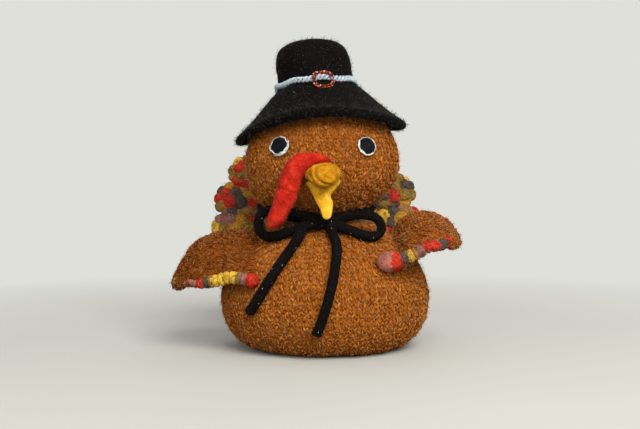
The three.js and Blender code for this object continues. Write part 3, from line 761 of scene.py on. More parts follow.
tie = {
    "radius": 3.7, "sides": 16, "rows": 130, "easing": 70, "flare": (6, 0.1), "closing": 1.2, "fibres": 420,
    "stitch": 3.1, "ribs": (0.955, 0.05, 0.022), "ribLean": 0.35, "wobble": (8, 0.1), "fuzz": (0.25, 0.6),
    "frontAngle": 57, "backAngle": 34, "standoff": 0.3, "sunk": 2.6, "ringRows": 330, "ringLength": 260,
    "knot": (-0.5, -45, 98.2), "knotHalf": (11.05, 5.625, 5.4), "knotRows": 70, "knotSides": 14,
    "knotLength": 36, "knotCord": 0.9, "wraps": ((-2.8, 0.5, 3.6), (3.2, 0.2, 3.5)),
}
tieRoutes = {
    "right_tie_loop": [
        (-2, -44, 99.5), (-11, -43.5, 101.5), (-20.5, -44, 103), (-33.5, -42.5, 106), (-45, -39.5, 107),
        (-50, -37.5, 99.5), (-49.5, -38.5, 91), (-43.5, -43, 86), (-33, -48.5, 88), (-21.5, -49, 93),
        (-11, -49, 95.5), (-5, -47, 97),
    ],
    "left_tie_loop": [
        (2, -44, 99.5), (11, -43.5, 100.6), (22, -44.5, 103), (30, -44.5, 103), (36.7, -43.2, 101.8),
        (41.2, -43.2, 97.2), (42, -44.2, 91.6), (38, -46.8, 87.2), (29.5, -49.6, 87), (21, -50.3, 90.8),
        (12, -49.5, 93.6), (4, -47, 96.5),
    ],
    "right_tie_end": [
        (-15.5, -49.3, 94), (-21.8, -60.2, 83), (-27.6, -66.3, 74.7), (-38.3, -71.5, 59),
        (-49, -69.7, 41.5), (-54.3, -65.6, 33.5),
    ],
    "left_tie_end": [
        (2.5, -46.5, 95.5), (4.1, -52.5, 91.8), (8.2, -65.7, 81.1), (6.9, -76.5, 67.6), (3.7, -83.4, 51.6),
        (-1.8, -84.9, 32.5), (-6.4, -81.5, 19.7),
    ],
}


def cordRadius(rows, sides, length, seed):
    # four knitted columns round the cord, felted soft
    angles = turnsOf(sides)
    step = np.linspace(0, length, rows)[:, None]
    columns = np.abs(np.sin(2 * angles))[None]
    lean = tie["ribLean"] * np.abs(np.cos(2 * angles))[None]
    rowsUp = np.sin(2 * math.pi * (step / tie["stitch"] + lean))
    gap, depth = tie["wobble"]
    marks = np.arange(0, rows + gap, gap)
    rng = np.random.default_rng(seed)
    wobble = np.interp(np.arange(rows), marks, rng.normal(size=len(marks)) * depth)
    core, columnDepth, rowDepth = tie["ribs"]
    return tie["radius"] * (core + columnDepth * columns + rowDepth * rowsUp) + wobble[:, None]


def eased(path, rounds):
    # takes the tightness out of a route's bends
    for _ in range(rounds):
        path[1:-1] = (path[:-2] + 2 * path[1:-1] + path[2:]) / 4
    return path


def tieCord(name, seed):
    route, rows = tieRoutes[name], tie["rows"]
    path = eased(smoothRoute(route, rows), tie["easing"])
    length = runAlong(path)[-1]
    radius = cordRadius(rows, tie["sides"], length, seed)
    if name.endswith("end"):
        (widens, wider), closes = tie["flare"], tie["closing"]
        past = np.linspace(0, length, rows) - length
        flare = 1 + wider * np.clip((past + widens) / widens, 0, 1)
        closing = np.sqrt(np.clip(1 - ((past + closes) / closes).clip(0, 1) ** 2, 0.25, 1))
        radius = radius * (flare * closing)[:, None]
    piece = makePiece(name + "_cord", *tube(path, upright, radius, tie["sides"]), cordWool)
    swollen(piece, (5, 0.12, seed))
    settle(piece, "figure", "black_cord", name)
    return piece


def neckTie():
    rows = tie["ringRows"]
    turns = turnsOf(rows)
    back = (1 + np.sin(turns)) / 2
    level = np.radians(tie["frontAngle"] + (tie["backAngle"] - tie["frontAngle"]) * back)
    square = unit(np.stack([np.cos(level) / head["radius"], -np.sin(level) / head["drop"]], 1))
    offset = tie["radius"] + tie["standoff"] - tie["sunk"] * np.cos(turns) ** 2
    reach = head["radius"] * np.cos(level) + offset * square[:, 0]
    height = head["height"] - head["drop"] * np.sin(level) + offset * square[:, 1]
    path = slumped(np.stack([head["shift"] + reach * np.cos(turns), reach * np.sin(turns), height], 1))
    radius = cordRadius(rows, tie["sides"], tie["ringLength"], 8)
    piece = makePiece("neck_tie_cord", *ringTube(path, upright, radius, tie["sides"]), cordWool)
    settle(piece, "figure", "black_cord", "neck_tie")
    return piece


def tieKnot():
    # the cord wrapped round itself over a soft core
    places, faces = ball(20, 28)
    meshes = [(places * np.array(tie["knotHalf"]) + tie["knot"], faces)]
    turns, sides = turnsOf(tie["knotRows"]), tie["knotSides"]
    radius = cordRadius(len(turns), sides, tie["knotLength"], 5) * tie["knotCord"]
    for across, tilt, size in tie["wraps"]:
        lean = across + tilt * size * np.sin(turns)
        path = np.stack([lean, size * np.cos(turns), size * np.sin(turns)], 1)
        meshes.append(ringTube(path + tie["knot"], sideways, radius, sides))
    places, faces, _ = joinMeshes(meshes)
    piece = makePiece("tie_knot_cord", places, faces, cordWool)
    swollen(piece, (6, 0.25, 2))
    settle(piece, "figure", "black_cord", "tie_knot")
    return piece


tiePieces = [tieCord(name, 40 + i) for i, name in enumerate(tieRoutes)] + [neckTie(), tieKnot()]
tieSpots = stacked(spread(piece, tie["fibres"], 60 + i) for i, piece in enumerate(tiePieces))
settle(fuzz("tie_fuzz", *tieSpots, blackFuzz, 6, tie["fuzz"]), "figure", "black_cord")
print("tie made")


# Eyes: satin-stitched pupils inside loose white stitches

eyes = {
    "faceShift": 0.5, "spread": 31.8, "rise": 11, "pupil": 6.2, "bulge": 2.0, "threads": 15, "thread": 0.48,
    "slant": 35, "outline": 6.9, "yarn": 0.53, "stitches": 11, "overlap": 0.62, "wide": 1.13, "heavy": 50,
    "rows": 9, "sides": 7, "core": 0.8, "within": 0.97, "dome": 0.75, "tilt": 0.35, "uneven": 0.3,
    "threadOut": 0.35, "yarnOut": 0.5, "yarnRise": 0.35, "yarns": (0.5, 1.3), "reaches": (0.92, 1.06),
    "stray": 0.12, "heavier": 0.3, "extra": (-0.9, -0.3, 0.3, 0.9), "extraReach": 1.1,
}


def capsule(a, b, radius, sag, facing):
    # one straight stitch of yarn between two points, rising a little in the middle
    rows = eyes["rows"]
    share = np.linspace(0, 1, rows)[:, None]
    path = a + (b - a) * share + facing * (sag * np.sin(math.pi * share))
    girth = radius * (0.35 + 0.65 * np.sin(math.pi * np.linspace(0.04, 0.96, rows)) ** 0.5)
    return tube(path, facing, girth, eyes["sides"])


def eyePieces(name, side, seed):
    rng = np.random.default_rng(seed)
    middle, facing = facePlace(eyes["faceShift"] + side * eyes["spread"], head["height"] + eyes["rise"])
    across = unit(np.cross(upright, facing))
    upwards = np.cross(facing, across)

    def spot(x, y, out):
        return middle + across * (x * eyes["wide"]) + upwards * y + facing * out

    def sewn(meshes, part, material, slot):
        places, faces, owner = joinMeshes(meshes)
        piece = makePiece("%s_%s_%s" % (name, part, slot.split("_")[1]), places, faces, material)
        setValues(piece, "tint", rng.random(owner.max() + 1)[owner])
        settle(piece, "figure", slot, "%s_%s" % (name, part))

    r = eyes["pupil"]
    places, faces = ball(14, 28)
    core = [spot(x * r, y * r, z * eyes["bulge"] * eyes["core"]) for x, y, z in places]
    meshes = [(np.array(core), faces)]
    c, s = cosSin(eyes["slant"])
    uneven, most, out, stray = (eyes[key] for key in ("uneven", "tilt", "threadOut", "stray"))
    for i in range(eyes["threads"]):
        off = r * (2 * (i + 0.5) / eyes["threads"] - 1) * eyes["within"]
        half = math.sqrt(max(r * r - off * off, 0.3)) + rng.uniform(-uneven, uneven)
        rise = eyes["bulge"] * math.sqrt(max(1 - (off / r) ** 2, 0.02)) * eyes["dome"]
        tilt = rng.uniform(-most, most)
        a = spot(-half * c - (off - tilt) * s, -half * s + (off - tilt) * c, out)
        b = spot(half * c - (off + tilt) * s, half * s + (off + tilt) * c, out)
        meshes.append(capsule(a, b, eyes["thread"], rise, facing))
    sewn(meshes, "pupil", eyeThread, "eye_thread")
    meshes = []
    heavy = math.radians(-90 - side * eyes["heavy"])  # the lower inner side is sewn over twice
    step = 2 * math.pi / eyes["stitches"]
    rounds = [(i * step, 1.0) for i in range(eyes["stitches"])]
    rounds += [(heavy + shift, eyes["extraReach"]) for shift in eyes["extra"]]
    for turn, wider in rounds:
        reach = eyes["outline"] * wider * rng.uniform(*eyes["reaches"])
        shifts = (-eyes["overlap"], eyes["overlap"])
        ends = [turn + (shift + rng.uniform(-stray, stray)) * step for shift in shifts]
        a, b = (spot(reach * math.cos(end), reach * math.sin(end), eyes["yarnOut"]) for end in ends)
        thick = eyes["yarn"] * (1 + eyes["heavier"] * math.cos(turn - heavy)) * rng.uniform(*eyes["yarns"])
        meshes.append(capsule(a, b, thick, eyes["yarnRise"], facing))
    sewn(meshes, "outline", whiteYarn, "white_yarn")


eyePieces("left_eye", 1, 71)
eyePieces("right_eye", -1, 72)
print("eyes stitched")


# Beak: a folded ochre flap over a yellow point

beak = {
    "shift": 0.5, "fall": 10.5, "half": (13.4, 21, 9.6), "taper": 0.35, "droop": 6, "crease": 2.1,
    "sunk": -1.2, "foldMiddle": (6, 2), "foldWide": 1.25, "folds": ((9.2, 1), (12.4, 0.7)),
    "foldWidth": 0.6, "foldSide": (4, -4), "fibres": 1100, "fuzz": (0.2, 0.5),
}
jaw = {
    "fall": 13, "halfWidth": 14.5, "halfDepth": 6.5, "drop": 29, "reach": 9, "slant": 3, "taper": 0.84,
    "curve": 0.75, "pinch": 0.45, "pinchAt": (0.45, 0.16), "rows": 60, "sides": 40, "fibres": 900,
    "ends": (0.1, 0.08),
}


def upperBeak():
    middle, _ = facePlace(beak["shift"], head["height"] - beak["fall"])
    places, faces = ball(64, 96)
    places = places * np.array(beak["half"])
    forward = np.maximum(0, -places[:, 1] / beak["half"][1])
    below = np.maximum(0, -places[:, 2] / beak["half"][2])
    places[:, 0] *= 1 - beak["taper"] * below
    places[:, 2] -= beak["droop"] * forward ** 2
    # the felt is rolled under along its lower right, and the roll has left folds
    x, z = beak["foldMiddle"]
    away = np.hypot((places[:, 0] - x) / beak["foldWide"], places[:, 2] - z)
    folds = sum(depth * hump(away, reach, beak["foldWidth"]) for reach, depth in beak["folds"])
    folds = folds * smoothStep(*beak["foldSide"], places[:, 0] + places[:, 2]) * (forward > 0)
    places[:, 1] += beak["crease"] * folds
    places = clearOfHead(places + middle, beak["sunk"])
    piece = makePiece("upper_beak_felt", places, faces, ochreWool)
    swollen(piece, (6, 0.5, 12), (2.2, 0.16, 13))
    # the tint is darker along the folds: painted shade in the creases, over the felt's uneven tone
    setValues(piece, "tint", 0.5 + 0.5 * lumps(places, 5, 2) - 0.6 * folds)
    settle(piece, "figure", "ochre_felt", "upper_beak", fill=0.6)
    return piece


def lowerBeak():
    root, _ = facePlace(beak["shift"], head["height"] - jaw["fall"])
    tip = root + np.array([jaw["slant"], -jaw["reach"], -jaw["drop"]])
    share = np.linspace(0.004, 0.996, jaw["rows"])[:, None]
    path = root + (tip - root) * share
    taper = roundEnds(share, *jaw["ends"]) * (1 - jaw["taper"] * share ** jaw["curve"])
    pinch = 1 - jaw["pinch"] * hump(share, *jaw["pinchAt"])
    c, s = np.cos(turnsOf(jaw["sides"])), np.sin(turnsOf(jaw["sides"]))
    width = jaw["halfWidth"] * taper * (1 - np.where(c > 0, 1.0, 0.0) * (1 - pinch))
    wide, deep = routeFrames(path, sideways)
    rings = path[:, None] + wide[:, None] * (width * c)[..., None]
    rings = rings + deep[:, None] * (jaw["halfDepth"] * taper * s)[..., None]
    places, faces = skin(rings, (path[0], path[-1]))
    piece = makePiece("lower_beak_felt", clearOfHead(places, beak["sunk"]), faces, yellowWool)
    swollen(piece, (5, 0.45, 15), (2, 0.16, 16))
    setValues(piece, "tint", 0.62 + 0.5 * lumps(places, 5, 6))
    settle(piece, "figure", "yellow_felt", "lower_beak", fill=0.5)
    return piece


# Snood: a felted tube draped beside the beak

snood = {
    "root": 2.8, "radius": 7, "growth": 0.36, "swing": 50, "clear": 1.1, "rows": 120, "sides": 36,
    "fibres": 2200, "ends": (0.03, 0.12), "swell": (0.14, 0.55, 0.2), "shrink": (0.24, 0.66),
    "crease": (0.12, 0.6, 0.025), "ripple": (0.04, 23), "fuzz": (0.2, 0.5),
    "route": [
        (4.2, -0.5, -0.5), (-1.3, -3.2, 1), (-8.3, -4.3, 1.2), (-15.8, -4, -2), (-20.6, -3, -8),
        (-23.3, -2, -15), (-25.8, -1.2, -23.5), (-29.5, -0.8, -33.5), (-34.3, -0.5, -42.5),
        (-38.6, -0.3, -47.8),
    ],
}


def snoodPiece():
    front = np.array([head["shift"] + eyes["faceShift"], -head["radius"], head["height"]])
    route = np.array(snood["route"]) + front
    share = np.linspace(0.003, 0.997, snood["rows"])
    grown = smoothStep(0, snood["growth"], share)
    radius = (snood["root"] + (snood["radius"] - snood["root"]) * grown) * roundEnds(share, *snood["ends"])
    (swell, *swellAt), (crease, *creaseAt) = snood["swell"], snood["crease"]
    (shrink, shrinkFrom), (ripple, ripples) = snood["shrink"], snood["ripple"]
    uneven = swell * hump(share, *swellAt) - shrink * smoothStep(shrinkFrom, 1, share)
    radius = radius * (1 + uneven - crease * hump(share, *creaseAt) + ripple * np.sin(share * ripples))
    places, faces = tube(smoothRoute(route, snood["rows"]), (0, 1, 0), radius, snood["sides"])
    for angle in np.linspace(0, snood["swing"], 6):
        cleared = clearOfHead(route[0] + tipped(places - route[0], angle), snood["clear"])
        places = route[0] + tipped(cleared - route[0], -angle)
    piece = makePiece("snood_felt", places, faces, redWool)
    swollen(piece, (7, 0.55, 21), (2.4, 0.2, 22))
    setValues(piece, "tint", 0.5 + 0.5 * lumps(places, 6, 4))
    settle(piece, "snood", "red_felt", "snood", fill=0.6)
    return piece


upper, lower, snoodMade = upperBeak(), lowerBeak(), snoodPiece()
beakSpots = stacked([spread(upper, beak["fibres"], 81), spread(lower, jaw["fibres"], 82)])
settle(fuzz("beak_fuzz", *beakSpots, beakFuzz, 83, beak["fuzz"]), "figure", "ochre_felt")
snoodSpots = spread(snoodMade, snood["fibres"], 84)
settle(fuzz("snood_fuzz", *snoodSpots, redFuzz, 85, snood["fuzz"]), "snood", "red_felt")
print("beak and snood made")


# Hat: one felt with a domed crown and a drooping brim

hat = {
    "rise": 24, "offset": -1.1, "lean": 5.2, "felt": 6, "crown": 26.2, "top": 69.4, "rounding": 13.5,
    "foot": 36, "flare": 1.2, "brim": 64, "curve": 1.1, "lift": 9.5, "sway": 2, "wave": 0.8, "clear": 0.6,
    "rows": 70, "sides": 150, "fibres": 9000, "rim": 60, "thinned": 0.5, "fuzz": (0.4, 1.2),
    "waves": (3, 0.7),
}
band = {
    "height": 39, "standoff": 1.7, "strand": 0.98, "helix": 1.12, "turns": 29, "rows": 700, "sides": 10,
    "waves": ((0.7, 3, 0.4), (0.5, 8, 0)), "coil": (0.75, 1.25), "uneven": (0.06, 41), "threads": (4, 1.5),
    "knot": 3.4, "knotStrand": 0.85, "knotRows": 26, "knotShift": (-0.3, -0.6, -1.4),
    "knotSizes": (0.5, 0.7), "knotWide": 0.5, "knotSkew": 0.6,
}
buckle = {
    "turn": 9.5, "drop": 1.5, "tilt": 0.5, "standoff": 4.4, "halfWidth": 7, "halfTall": 5.7,
    "squareness": 2 / 3, "rows": (-0.75, 0.75), "beads": (34, 42), "stray": (0.14, 0.1, 0.14), "flat": 0.8,
    "beadTurn": 0.25, "beadSizes": (0.72, 0.92),
}


def hatToFigure(places):
    c, s = cosSin(hat["lean"])
    x, y, z = np.moveaxis(np.asarray(places, float), -1, 0)
    x = x - hat["sway"] * np.clip((z - hat["foot"]) / (hat["top"] - hat["foot"]), 0, 1)
    middle = np.array([head["shift"] + hat["offset"], 0, head["height"] + hat["rise"]])
    return middle + np.stack([c * x - s * z, y, s * x + c * z], -1)


def hatMiddle():
    crown, top, rounding, foot = (hat[key] for key in ("crown", "top", "rounding", "foot"))
    shoulder = rounding * (1 - math.sqrt(0.5))
    points = [(0, top), (crown - rounding, top), (crown - shoulder, top - shoulder)]
    points += [(crown, top - rounding), (crown, (top - rounding + foot) / 2)]
    for inwards in np.linspace(1, 0, 5):
        reach = hat["brim"] + (crown + hat["flare"] - hat["brim"]) * inwards
        points.append((reach, foot * inwards ** hat["curve"]))
    return smoothRoute(points, hat["rows"])


def hatPiece():
    middle = hatMiddle()
    along = unit(np.gradient(middle, axis=0))
    square = np.stack([-along[:, 1], along[:, 0]], 1)
    square[0] = (0, 1)
    half = hat["felt"] / 2
    facing = math.atan2(square[-1, 1], square[-1, 0])
    turns = facing - np.linspace(0, math.pi, 11)[1:-1]
    rim = middle[-1] + half * np.stack([np.cos(turns), np.sin(turns)], 1)
    profile = np.vstack([middle + square * half, rim, (middle - square * half)[::-1]])
    profile[:, 0] = np.maximum(profile[:, 0], 0)
    places, faces = turned(profile, hat["sides"])
    reach = np.maximum(np.hypot(places[:, 0], places[:, 1]), 1e-6)
    share = np.maximum(0, (reach - hat["crown"]) / (hat["brim"] - hat["crown"]))
    places[:, 2] += hat["lift"] * share ** 2 * (places[:, 1] / reach) ** 2
    waves, shifted = hat["waves"]
    wave = np.sin(waves * np.arctan2(places[:, 1], places[:, 0]) + shifted)
    places[:, 2] += hat["wave"] * share * wave
    places = clearOfHead(hatToFigure(places), hat["clear"])
    piece = makePiece("hat_wool", places, [face[::-1] for face in faces], hatWool)
    swollen(piece, (9, 0.35, 30), (3, 0.2, 31))
    settle(piece, "hat", "black_felt", "hat_felt")
    return piece


def hatBand():
    # two shiny strands twisted together, with a small knot on the right
    rows, sides = band["rows"], band["sides"]
    turns = turnsOf(rows)
    reach = hat["crown"] + hat["felt"] / 2 + band["standoff"]
    outwards = np.stack([np.cos(turns), np.sin(turns), np.zeros(rows)], 1)
    waves = (depth * np.sin(count * turns + start) for depth, count, start in band["waves"])
    height = sum(waves, band["height"])
    middle = outwards * reach + upright * height[:, None]
    around = np.abs(2 * np.arange(sides) / sides - 1)
    (coilOut, coilUp), (depth, count) = band["coil"], band["uneven"]
    threadCount, slant = band["threads"]
    # threads: where each place lies among the threads, from which the band's material paints shade in the
    # gaps
    meshes, threads = [], []
    for strand in range(2):
        twist = band["turns"] * turns + strand * math.pi
        coil = outwards * (coilOut * np.cos(twist))[:, None] + upright * (coilUp * np.sin(twist))[:, None]
        girth = band["strand"] * (1 + depth * np.sin(turns * count + strand))
        meshes.append(ringTube(middle + band["helix"] * coil, outwards, girth, sides))
        threads.append((threadCount * around + slant * twist[:, None] / (2 * math.pi)).ravel())
    rng = np.random.default_rng(44)
    core = np.array([-reach, 0, band["height"]]) + band["knotShift"]
    rows, skew = band["knotRows"], band["knotSkew"]
    turn = turnsOf(rows)
    for i in range(4):
        size = band["knot"] * rng.uniform(*band["knotSizes"])
        across = band["knotWide"] * size * np.sin(turn * 2 + i)
        route = np.stack([across, size * np.cos(turn), size * np.sin(turn + rng.uniform(-skew, skew))], 1)
        meshes.append(ringTube(core + route, sideways, np.full(rows, band["knotStrand"]), sides))
        threads.append(np.tile(threadCount * around, rows))
    places, faces, _ = joinMeshes(meshes)
    piece = makePiece("hat_band_yarn", hatToFigure(places), faces, bandYarn)
    setValues(piece, "thread", np.concatenate(threads))
    settle(piece, "hat", "band_yarn", "hat_band")


def buckleRow(wider, count):
    # evenly spaced places round a rounded square, and the way the row runs at each
    fine = np.linspace(0, 2 * math.pi, 2000)
    x, z = (np.sign(v) * np.abs(v) ** buckle["squareness"] for v in (np.cos(fine), np.sin(fine)))
    ring = np.stack([(buckle["halfWidth"] + wider) * x, 0 * fine, (buckle["halfTall"] + wider) * z], 1)
    run = runAlong(ring)
    wanted = (np.arange(count) + 0.5) / count * run[-1]
    here, ahead = (onRoute(ring, run, wanted + d, run[-1]) for d in (0, 0.3))
    return here, unit(ahead - here)


def hatBuckle():
    # two rows of small copper beads strung in a rounded square
    rng = np.random.default_rng(50)
    places, along = stacked(buckleRow(*row) for row in zip(buckle["rows"], buckle["beads"]))
    places = places + rng.normal(size=places.shape) * np.array(buckle["stray"])
    places[:, 1] += buckle["tilt"] * places[:, 2] - hat["crown"] - hat["felt"] / 2 - buckle["standoff"]
    places[:, 2] += band["height"] - buckle["drop"]
    c, s = cosSin(buckle["turn"])
    turnedRound = np.array([[c, s, 0], [-s, c, 0], [0, 0, 1]])
    facing = hatToFigure(along @ turnedRound) - hatToFigure(np.zeros(3))
    form, faces = ball(8, 10)
    bead = makePiece("bead", form * np.array([1, 1, buckle["flat"]]), faces)
    piece = makePiece("hat_buckle_beads", np.zeros((0, 3)), [])
    tint = rng.random(len(places))
    spots = hatToFigure(places @ turnedRound), facing, squareTo(facing, rng)
    scatterOn(piece, spots, tint, bead, beadCopper, buckle["beadTurn"], buckle["beadSizes"], 51)
    bpy.data.objects.remove(bead)
    settle(piece, "hat", "copper_beads", "hat_buckle")


def hatFuzz(felt):
    places, facing = spread(felt, hat["fibres"], 90)
    reach = np.hypot(places[:, 0] - head["shift"], places[:, 1])
    keep = (reach > hat["rim"]) | (np.random.default_rng(91).random(len(places)) < hat["thinned"])
    settle(fuzz("hat_fuzz", places[keep], facing[keep], blackFuzz, 92, hat["fuzz"]), "hat", "black_felt")


hatMade = hatPiece()
hatBand()
hatBuckle()
hatFuzz(hatMade)
print("hat made")


# Wings: cupped flaps with a rope of coloured wool wrapped round each free edge

wing = {
    "azimuth": -24.6, "height": 79, "standoff": 1.5, "pitch": 21.5, "halfChord": 38, "depth": 12,
    "thick": 5.5, "lobes": 5, "lobeDepth": 0.04, "seam": (-2, 12), "bury": 0.8, "sunk": -2.4, "rings": 22,
    "sides": 90, "fibres": 3200, "lifted": (16, 12), "fallen": (-6, 10), "sewn": (-2, 10), "cover": 0.6,
    "core": 1, "stitchTurn": 0.5, "stray": 0.2, "within": 0.97,
}
edging = {
    "radius": 4.5, "reach": 78, "bump": 0.045, "strands": 3, "tucked": (0.2, 0.32), "regrown": (0.34, 0.41),
    "rows": 600, "sides": 18, "clear": 0.2, "stitches": 1500, "fibres": 1600, "kept": 0.35,
    "puff": (0.72, 0.32, 0.6), "twist": 0.045, "grain": 300, "ragged": 0.04, "bobbleRagged": 0.45,
    "regrowth": 0.6, "ends": (0.02, 0.03), "fuzz": (0.3, 0.9),
}
wings = {
    "left": {
        "side": 1, "reach": 40, "arch": 16, "bulge": 0.6, "edgeArch": 0.47, "rest": 4, "frontLift": 4.5,
        "frontFall": 0, "sag": 0, "tip": 0.86, "tipLift": 0, "paintedShade": -0.21, "tuck": 1.2, "thinned": 0.1,
        "bobble": (-11, -38, 4.5), "bobbleHalf": (10, 7.8, 7.6),
        "bobbleDyes": [(0, "rose"), (0.55, "red")],
        "stripes": [
            (0, "grey"), (0.1, "yellow"), (0.135, "tan"), (0.16, "mauve"), (0.2, "red"), (0.245, "red"),
            (0.29, "grey"), (0.365, "red"), (0.445, "brown"), (0.5, "brown"), (0.545, "brown"),
            (0.59, "brown"), (0.635, "gold"), (0.67, "brown"),
        ],
    },
    "right": {
        "side": -1, "reach": 63.5, "arch": 16, "bulge": 1, "edgeArch": 0, "rest": -31, "frontLift": 0,
        "frontFall": 5, "sag": 9, "tip": 0.72, "tipLift": 4.5, "paintedShade": -0.42, "tuck": 1.6, "thinned": 0.38,
        "bobble": (1, -42, -10.5), "bobbleHalf": (5.5, 5.5, 5.5),
        "bobbleDyes": [(0, "red"), (0.8, "maroon")],
        "stripes": [
            (0, "mauve"), (0.055, "olive"), (0.078, "yellow"), (0.113, "yellow"), (0.143, "yellow"),
            (0.172, "yellow"), (0.2, "olive"), (0.222, "grey"), (0.25, "red"), (0.293, "mauve"),
            (0.316, "rose"), (0.36, "brown"), (0.405, "brown"), (0.45, "brown"), (0.495, "grey"),
            (0.53, "brown"), (0.575, "brown"), (0.62, "brown"), (0.665, "grey"), (0.7, "brown"),
        ],
    },
}


def wingFrame(shape):
    root = bodyPlace(wing["azimuth"], wing["height"], wing["standoff"])
    root[0] *= shape["side"]
    pitchC, pitchS = cosSin(wing["pitch"])
    out = np.array([shape["side"], 0, 0.0])
    seam = shape["side"] * np.array([0, pitchC, pitchS])
    up = np.cross(out, seam)
    c, s = cosSin(shape["rest"])
    return root, np.array([out * c + up * s, seam, up * c - out * s])


def wingToFigure(shape, places):
    root, axes = wingFrame(shape)
    return root + np.asarray(places) @ axes


def wingReach(shape, out):
    return np.where(out > 0, shape["reach"], wing["depth"])


def wingOutline(shape, angle):
    ripple = 1 - wing["lobeDepth"] * (1 + np.cos(2 * wing["lobes"] * angle)) / 2
    outwards = np.cos(angle)
    return wingReach(shape, outwards) * outwards * ripple, wing["halfChord"] * np.sin(angle) * ripple


def wingArch(shape, out, along):
    # the middle of the panel: arched over the reach, and sunk into the body behind the seam
    share = np.clip(out / shape["reach"], 0, 1)
    chord = along / wing["halfChord"]
    front = np.clip(-along * shape["side"] / wing["halfChord"], 0, 1)
    lift = shape["frontLift"] * hump(out, *wing["lifted"])
    lift -= shape["frontFall"] * smoothStep(*wing["fallen"], out)
    rise = shape["arch"] * np.sin(math.pi * share) ** shape["bulge"]
    rise = rise * (1 - (1 - shape["edgeArch"]) * chord ** 2)
    sewn = shape["sag"] * chord ** 2 * (1 - smoothStep(*wing["sewn"], out))
    rise = rise + lift * front ** 2 - sewn
    return rise + shape["tipLift"] * share ** 3 + wing["bury"] * np.minimum(out, 0)


def wingSheet(shape, out, along, face):
    # places on the top or the underside of a wing
    share = np.hypot(out / wingReach(shape, out), along / wing["halfChord"])
    thick = face * (wing["thick"] - wing["cover"]) * np.sqrt(np.clip(1 - share ** 2, 0, 1))
    return np.stack([out, along, wingArch(shape, out, along) + thick], -1)


def wingTip(shape, places):
    root, axes = wingFrame(shape)
    return (places - root) @ axes[0] > shape["tip"] * shape["reach"]


def wingStitches(shape, rng):
    fine = np.linspace(1 - wing["depth"], shape["reach"] - 2, 300)
    run = runAlong(np.stack([fine, wingArch(shape, fine, 0 * fine)], 1))
    rows = np.interp(np.arange(0, run[-1], knit["row"]), run, fine)
    columns = np.arange(2 - wing["halfChord"], wing["halfChord"] - 1, knit["pitch"])
    grids = np.meshgrid(rows, columns)
    out, along = (grid.ravel() + rng.normal(size=grid.size) * wing["stray"] for grid in grids)
    inside = np.hypot(out / wingReach(shape, out), along / wing["halfChord"]) < wing["within"]
    out, along = out[inside], along[inside]
    _, axes = wingFrame(shape)
    sets = []
    for face in (1, -1):
        here = wingSheet(shape, out, along, face)
        over = wingSheet(shape, out + 0.3, along, face) - here
        beside = wingSheet(shape, out, along + 0.3, face) - here
        square = unit(np.cross(over, beside) * face)
        sets.append((wingToFigure(shape, here), square @ axes, unit(over) @ axes))
    spots = inLegs(*stacked(sets), rng)
    clear = outsideBody(spots[0])
    return [part[clear] for part in spots]


def wingPanel(name, shape, rope):
    out, along = wingOutline(shape, turnsOf(wing["sides"]))
    thick = wing["thick"] - wing["core"]
    sheets = []
    for tilt in np.linspace(0, math.pi, 2 * wing["rings"] + 1)[1:-1]:
        o, a = out * math.sin(tilt), along * math.sin(tilt)
        sheets.append(np.stack([o, a, wingArch(shape, o, a) + thick * math.cos(tilt)], 1))
    places, faces = skin(np.array(sheets), [(0, 0, thick), (0, 0, -thick)])
    places = clearOfBody(wingToFigure(shape, places), wing["sunk"])
    base = makePiece(name + "_wing_knit", places, [face[::-1] for face in faces], wool)
    swollen(base, (12, 0.5, 33))
    # the panel's tint is lowered by painted shade, more on the right wing than the left
    setValues(base, "tint", np.full(len(places), 0.5 + 0.8 * shape["paintedShade"]))
    rng = np.random.default_rng(100 + shape["side"])
    # the knitting runs on over the brown lengths of the rope
    places, facing = spread(rope, edging["stitches"], 35)
    _, axes = wingFrame(shape)
    tip = wingTip(shape, places)
    along = unit(np.cross(np.cross(facing, axes[0]), facing))
    spots = stacked([wingStitches(shape, rng), (places[tip], facing[tip], along[tip])])
    # the legs take the same painted shade as the panel
    tint = knitTint(spots[0], rng) + shape["paintedShade"]
    return scatterOn(base, spots, tint, stitch, wool, wing["stitchTurn"], knit["sizes"], 14)


def bobbleMiddle(shape):
    out, along, height = shape["bobble"]
    return np.array([out, along * shape["side"], height], float)


def wingEdging(name, shape):
    rows, sides = edging["rows"], edging["sides"]
    angles = shape["side"] * np.radians(np.linspace(-edging["reach"], edging["reach"], 13))
    out, along = wingOutline(shape, angles)
    route = np.vstack([bobbleMiddle(shape), np.stack([out, along, wingArch(shape, out, along)], 1)])
    path = smoothRoute(route, rows)
    share = np.linspace(0.002, 0.998, rows)
    tucked = smoothStep(*edging["tucked"], share)
    path[:, 2] -= shape["tuck"] * tucked
    starts = [start for start, _ in shape["stripes"]]
    more = np.arange(starts[-1] + edging["bump"], 1 + edging["bump"], edging["bump"])
    starts = np.concatenate([starts, more])
    wrap = np.searchsorted(starts, share) - 1
    within = (share - starts[wrap]) / (starts[wrap + 1] - starts[wrap])
    twist = 1 + edging["twist"] * np.sin(2 * math.pi * edging["strands"] * within)
    least, more, roundness = edging["puff"]
    puff = (least + more * np.sin(math.pi * within) ** roundness) * twist
    thinned = shape["thinned"] * tucked * (1 - edging["regrowth"] * smoothStep(*edging["regrown"], share))
    radius = edging["radius"] * (1 - thinned) * puff * roundEnds(share, *edging["ends"])
    places, faces = tube(path, upright, radius, sides)
    places = clearOfBody(wingToFigure(shape, places), edging["clear"])
    dyed = dyedWool(name + "_edging_wool", "share", shape["stripes"], edging["grain"], edging["ragged"])
    piece = makePiece(name + "_wing_rope", places, faces, dyed)
    swollen(piece, (4, 0.3, 41))
    setValues(piece, "share", np.concatenate([np.repeat(share, sides), [0, 1]]))
    return piece


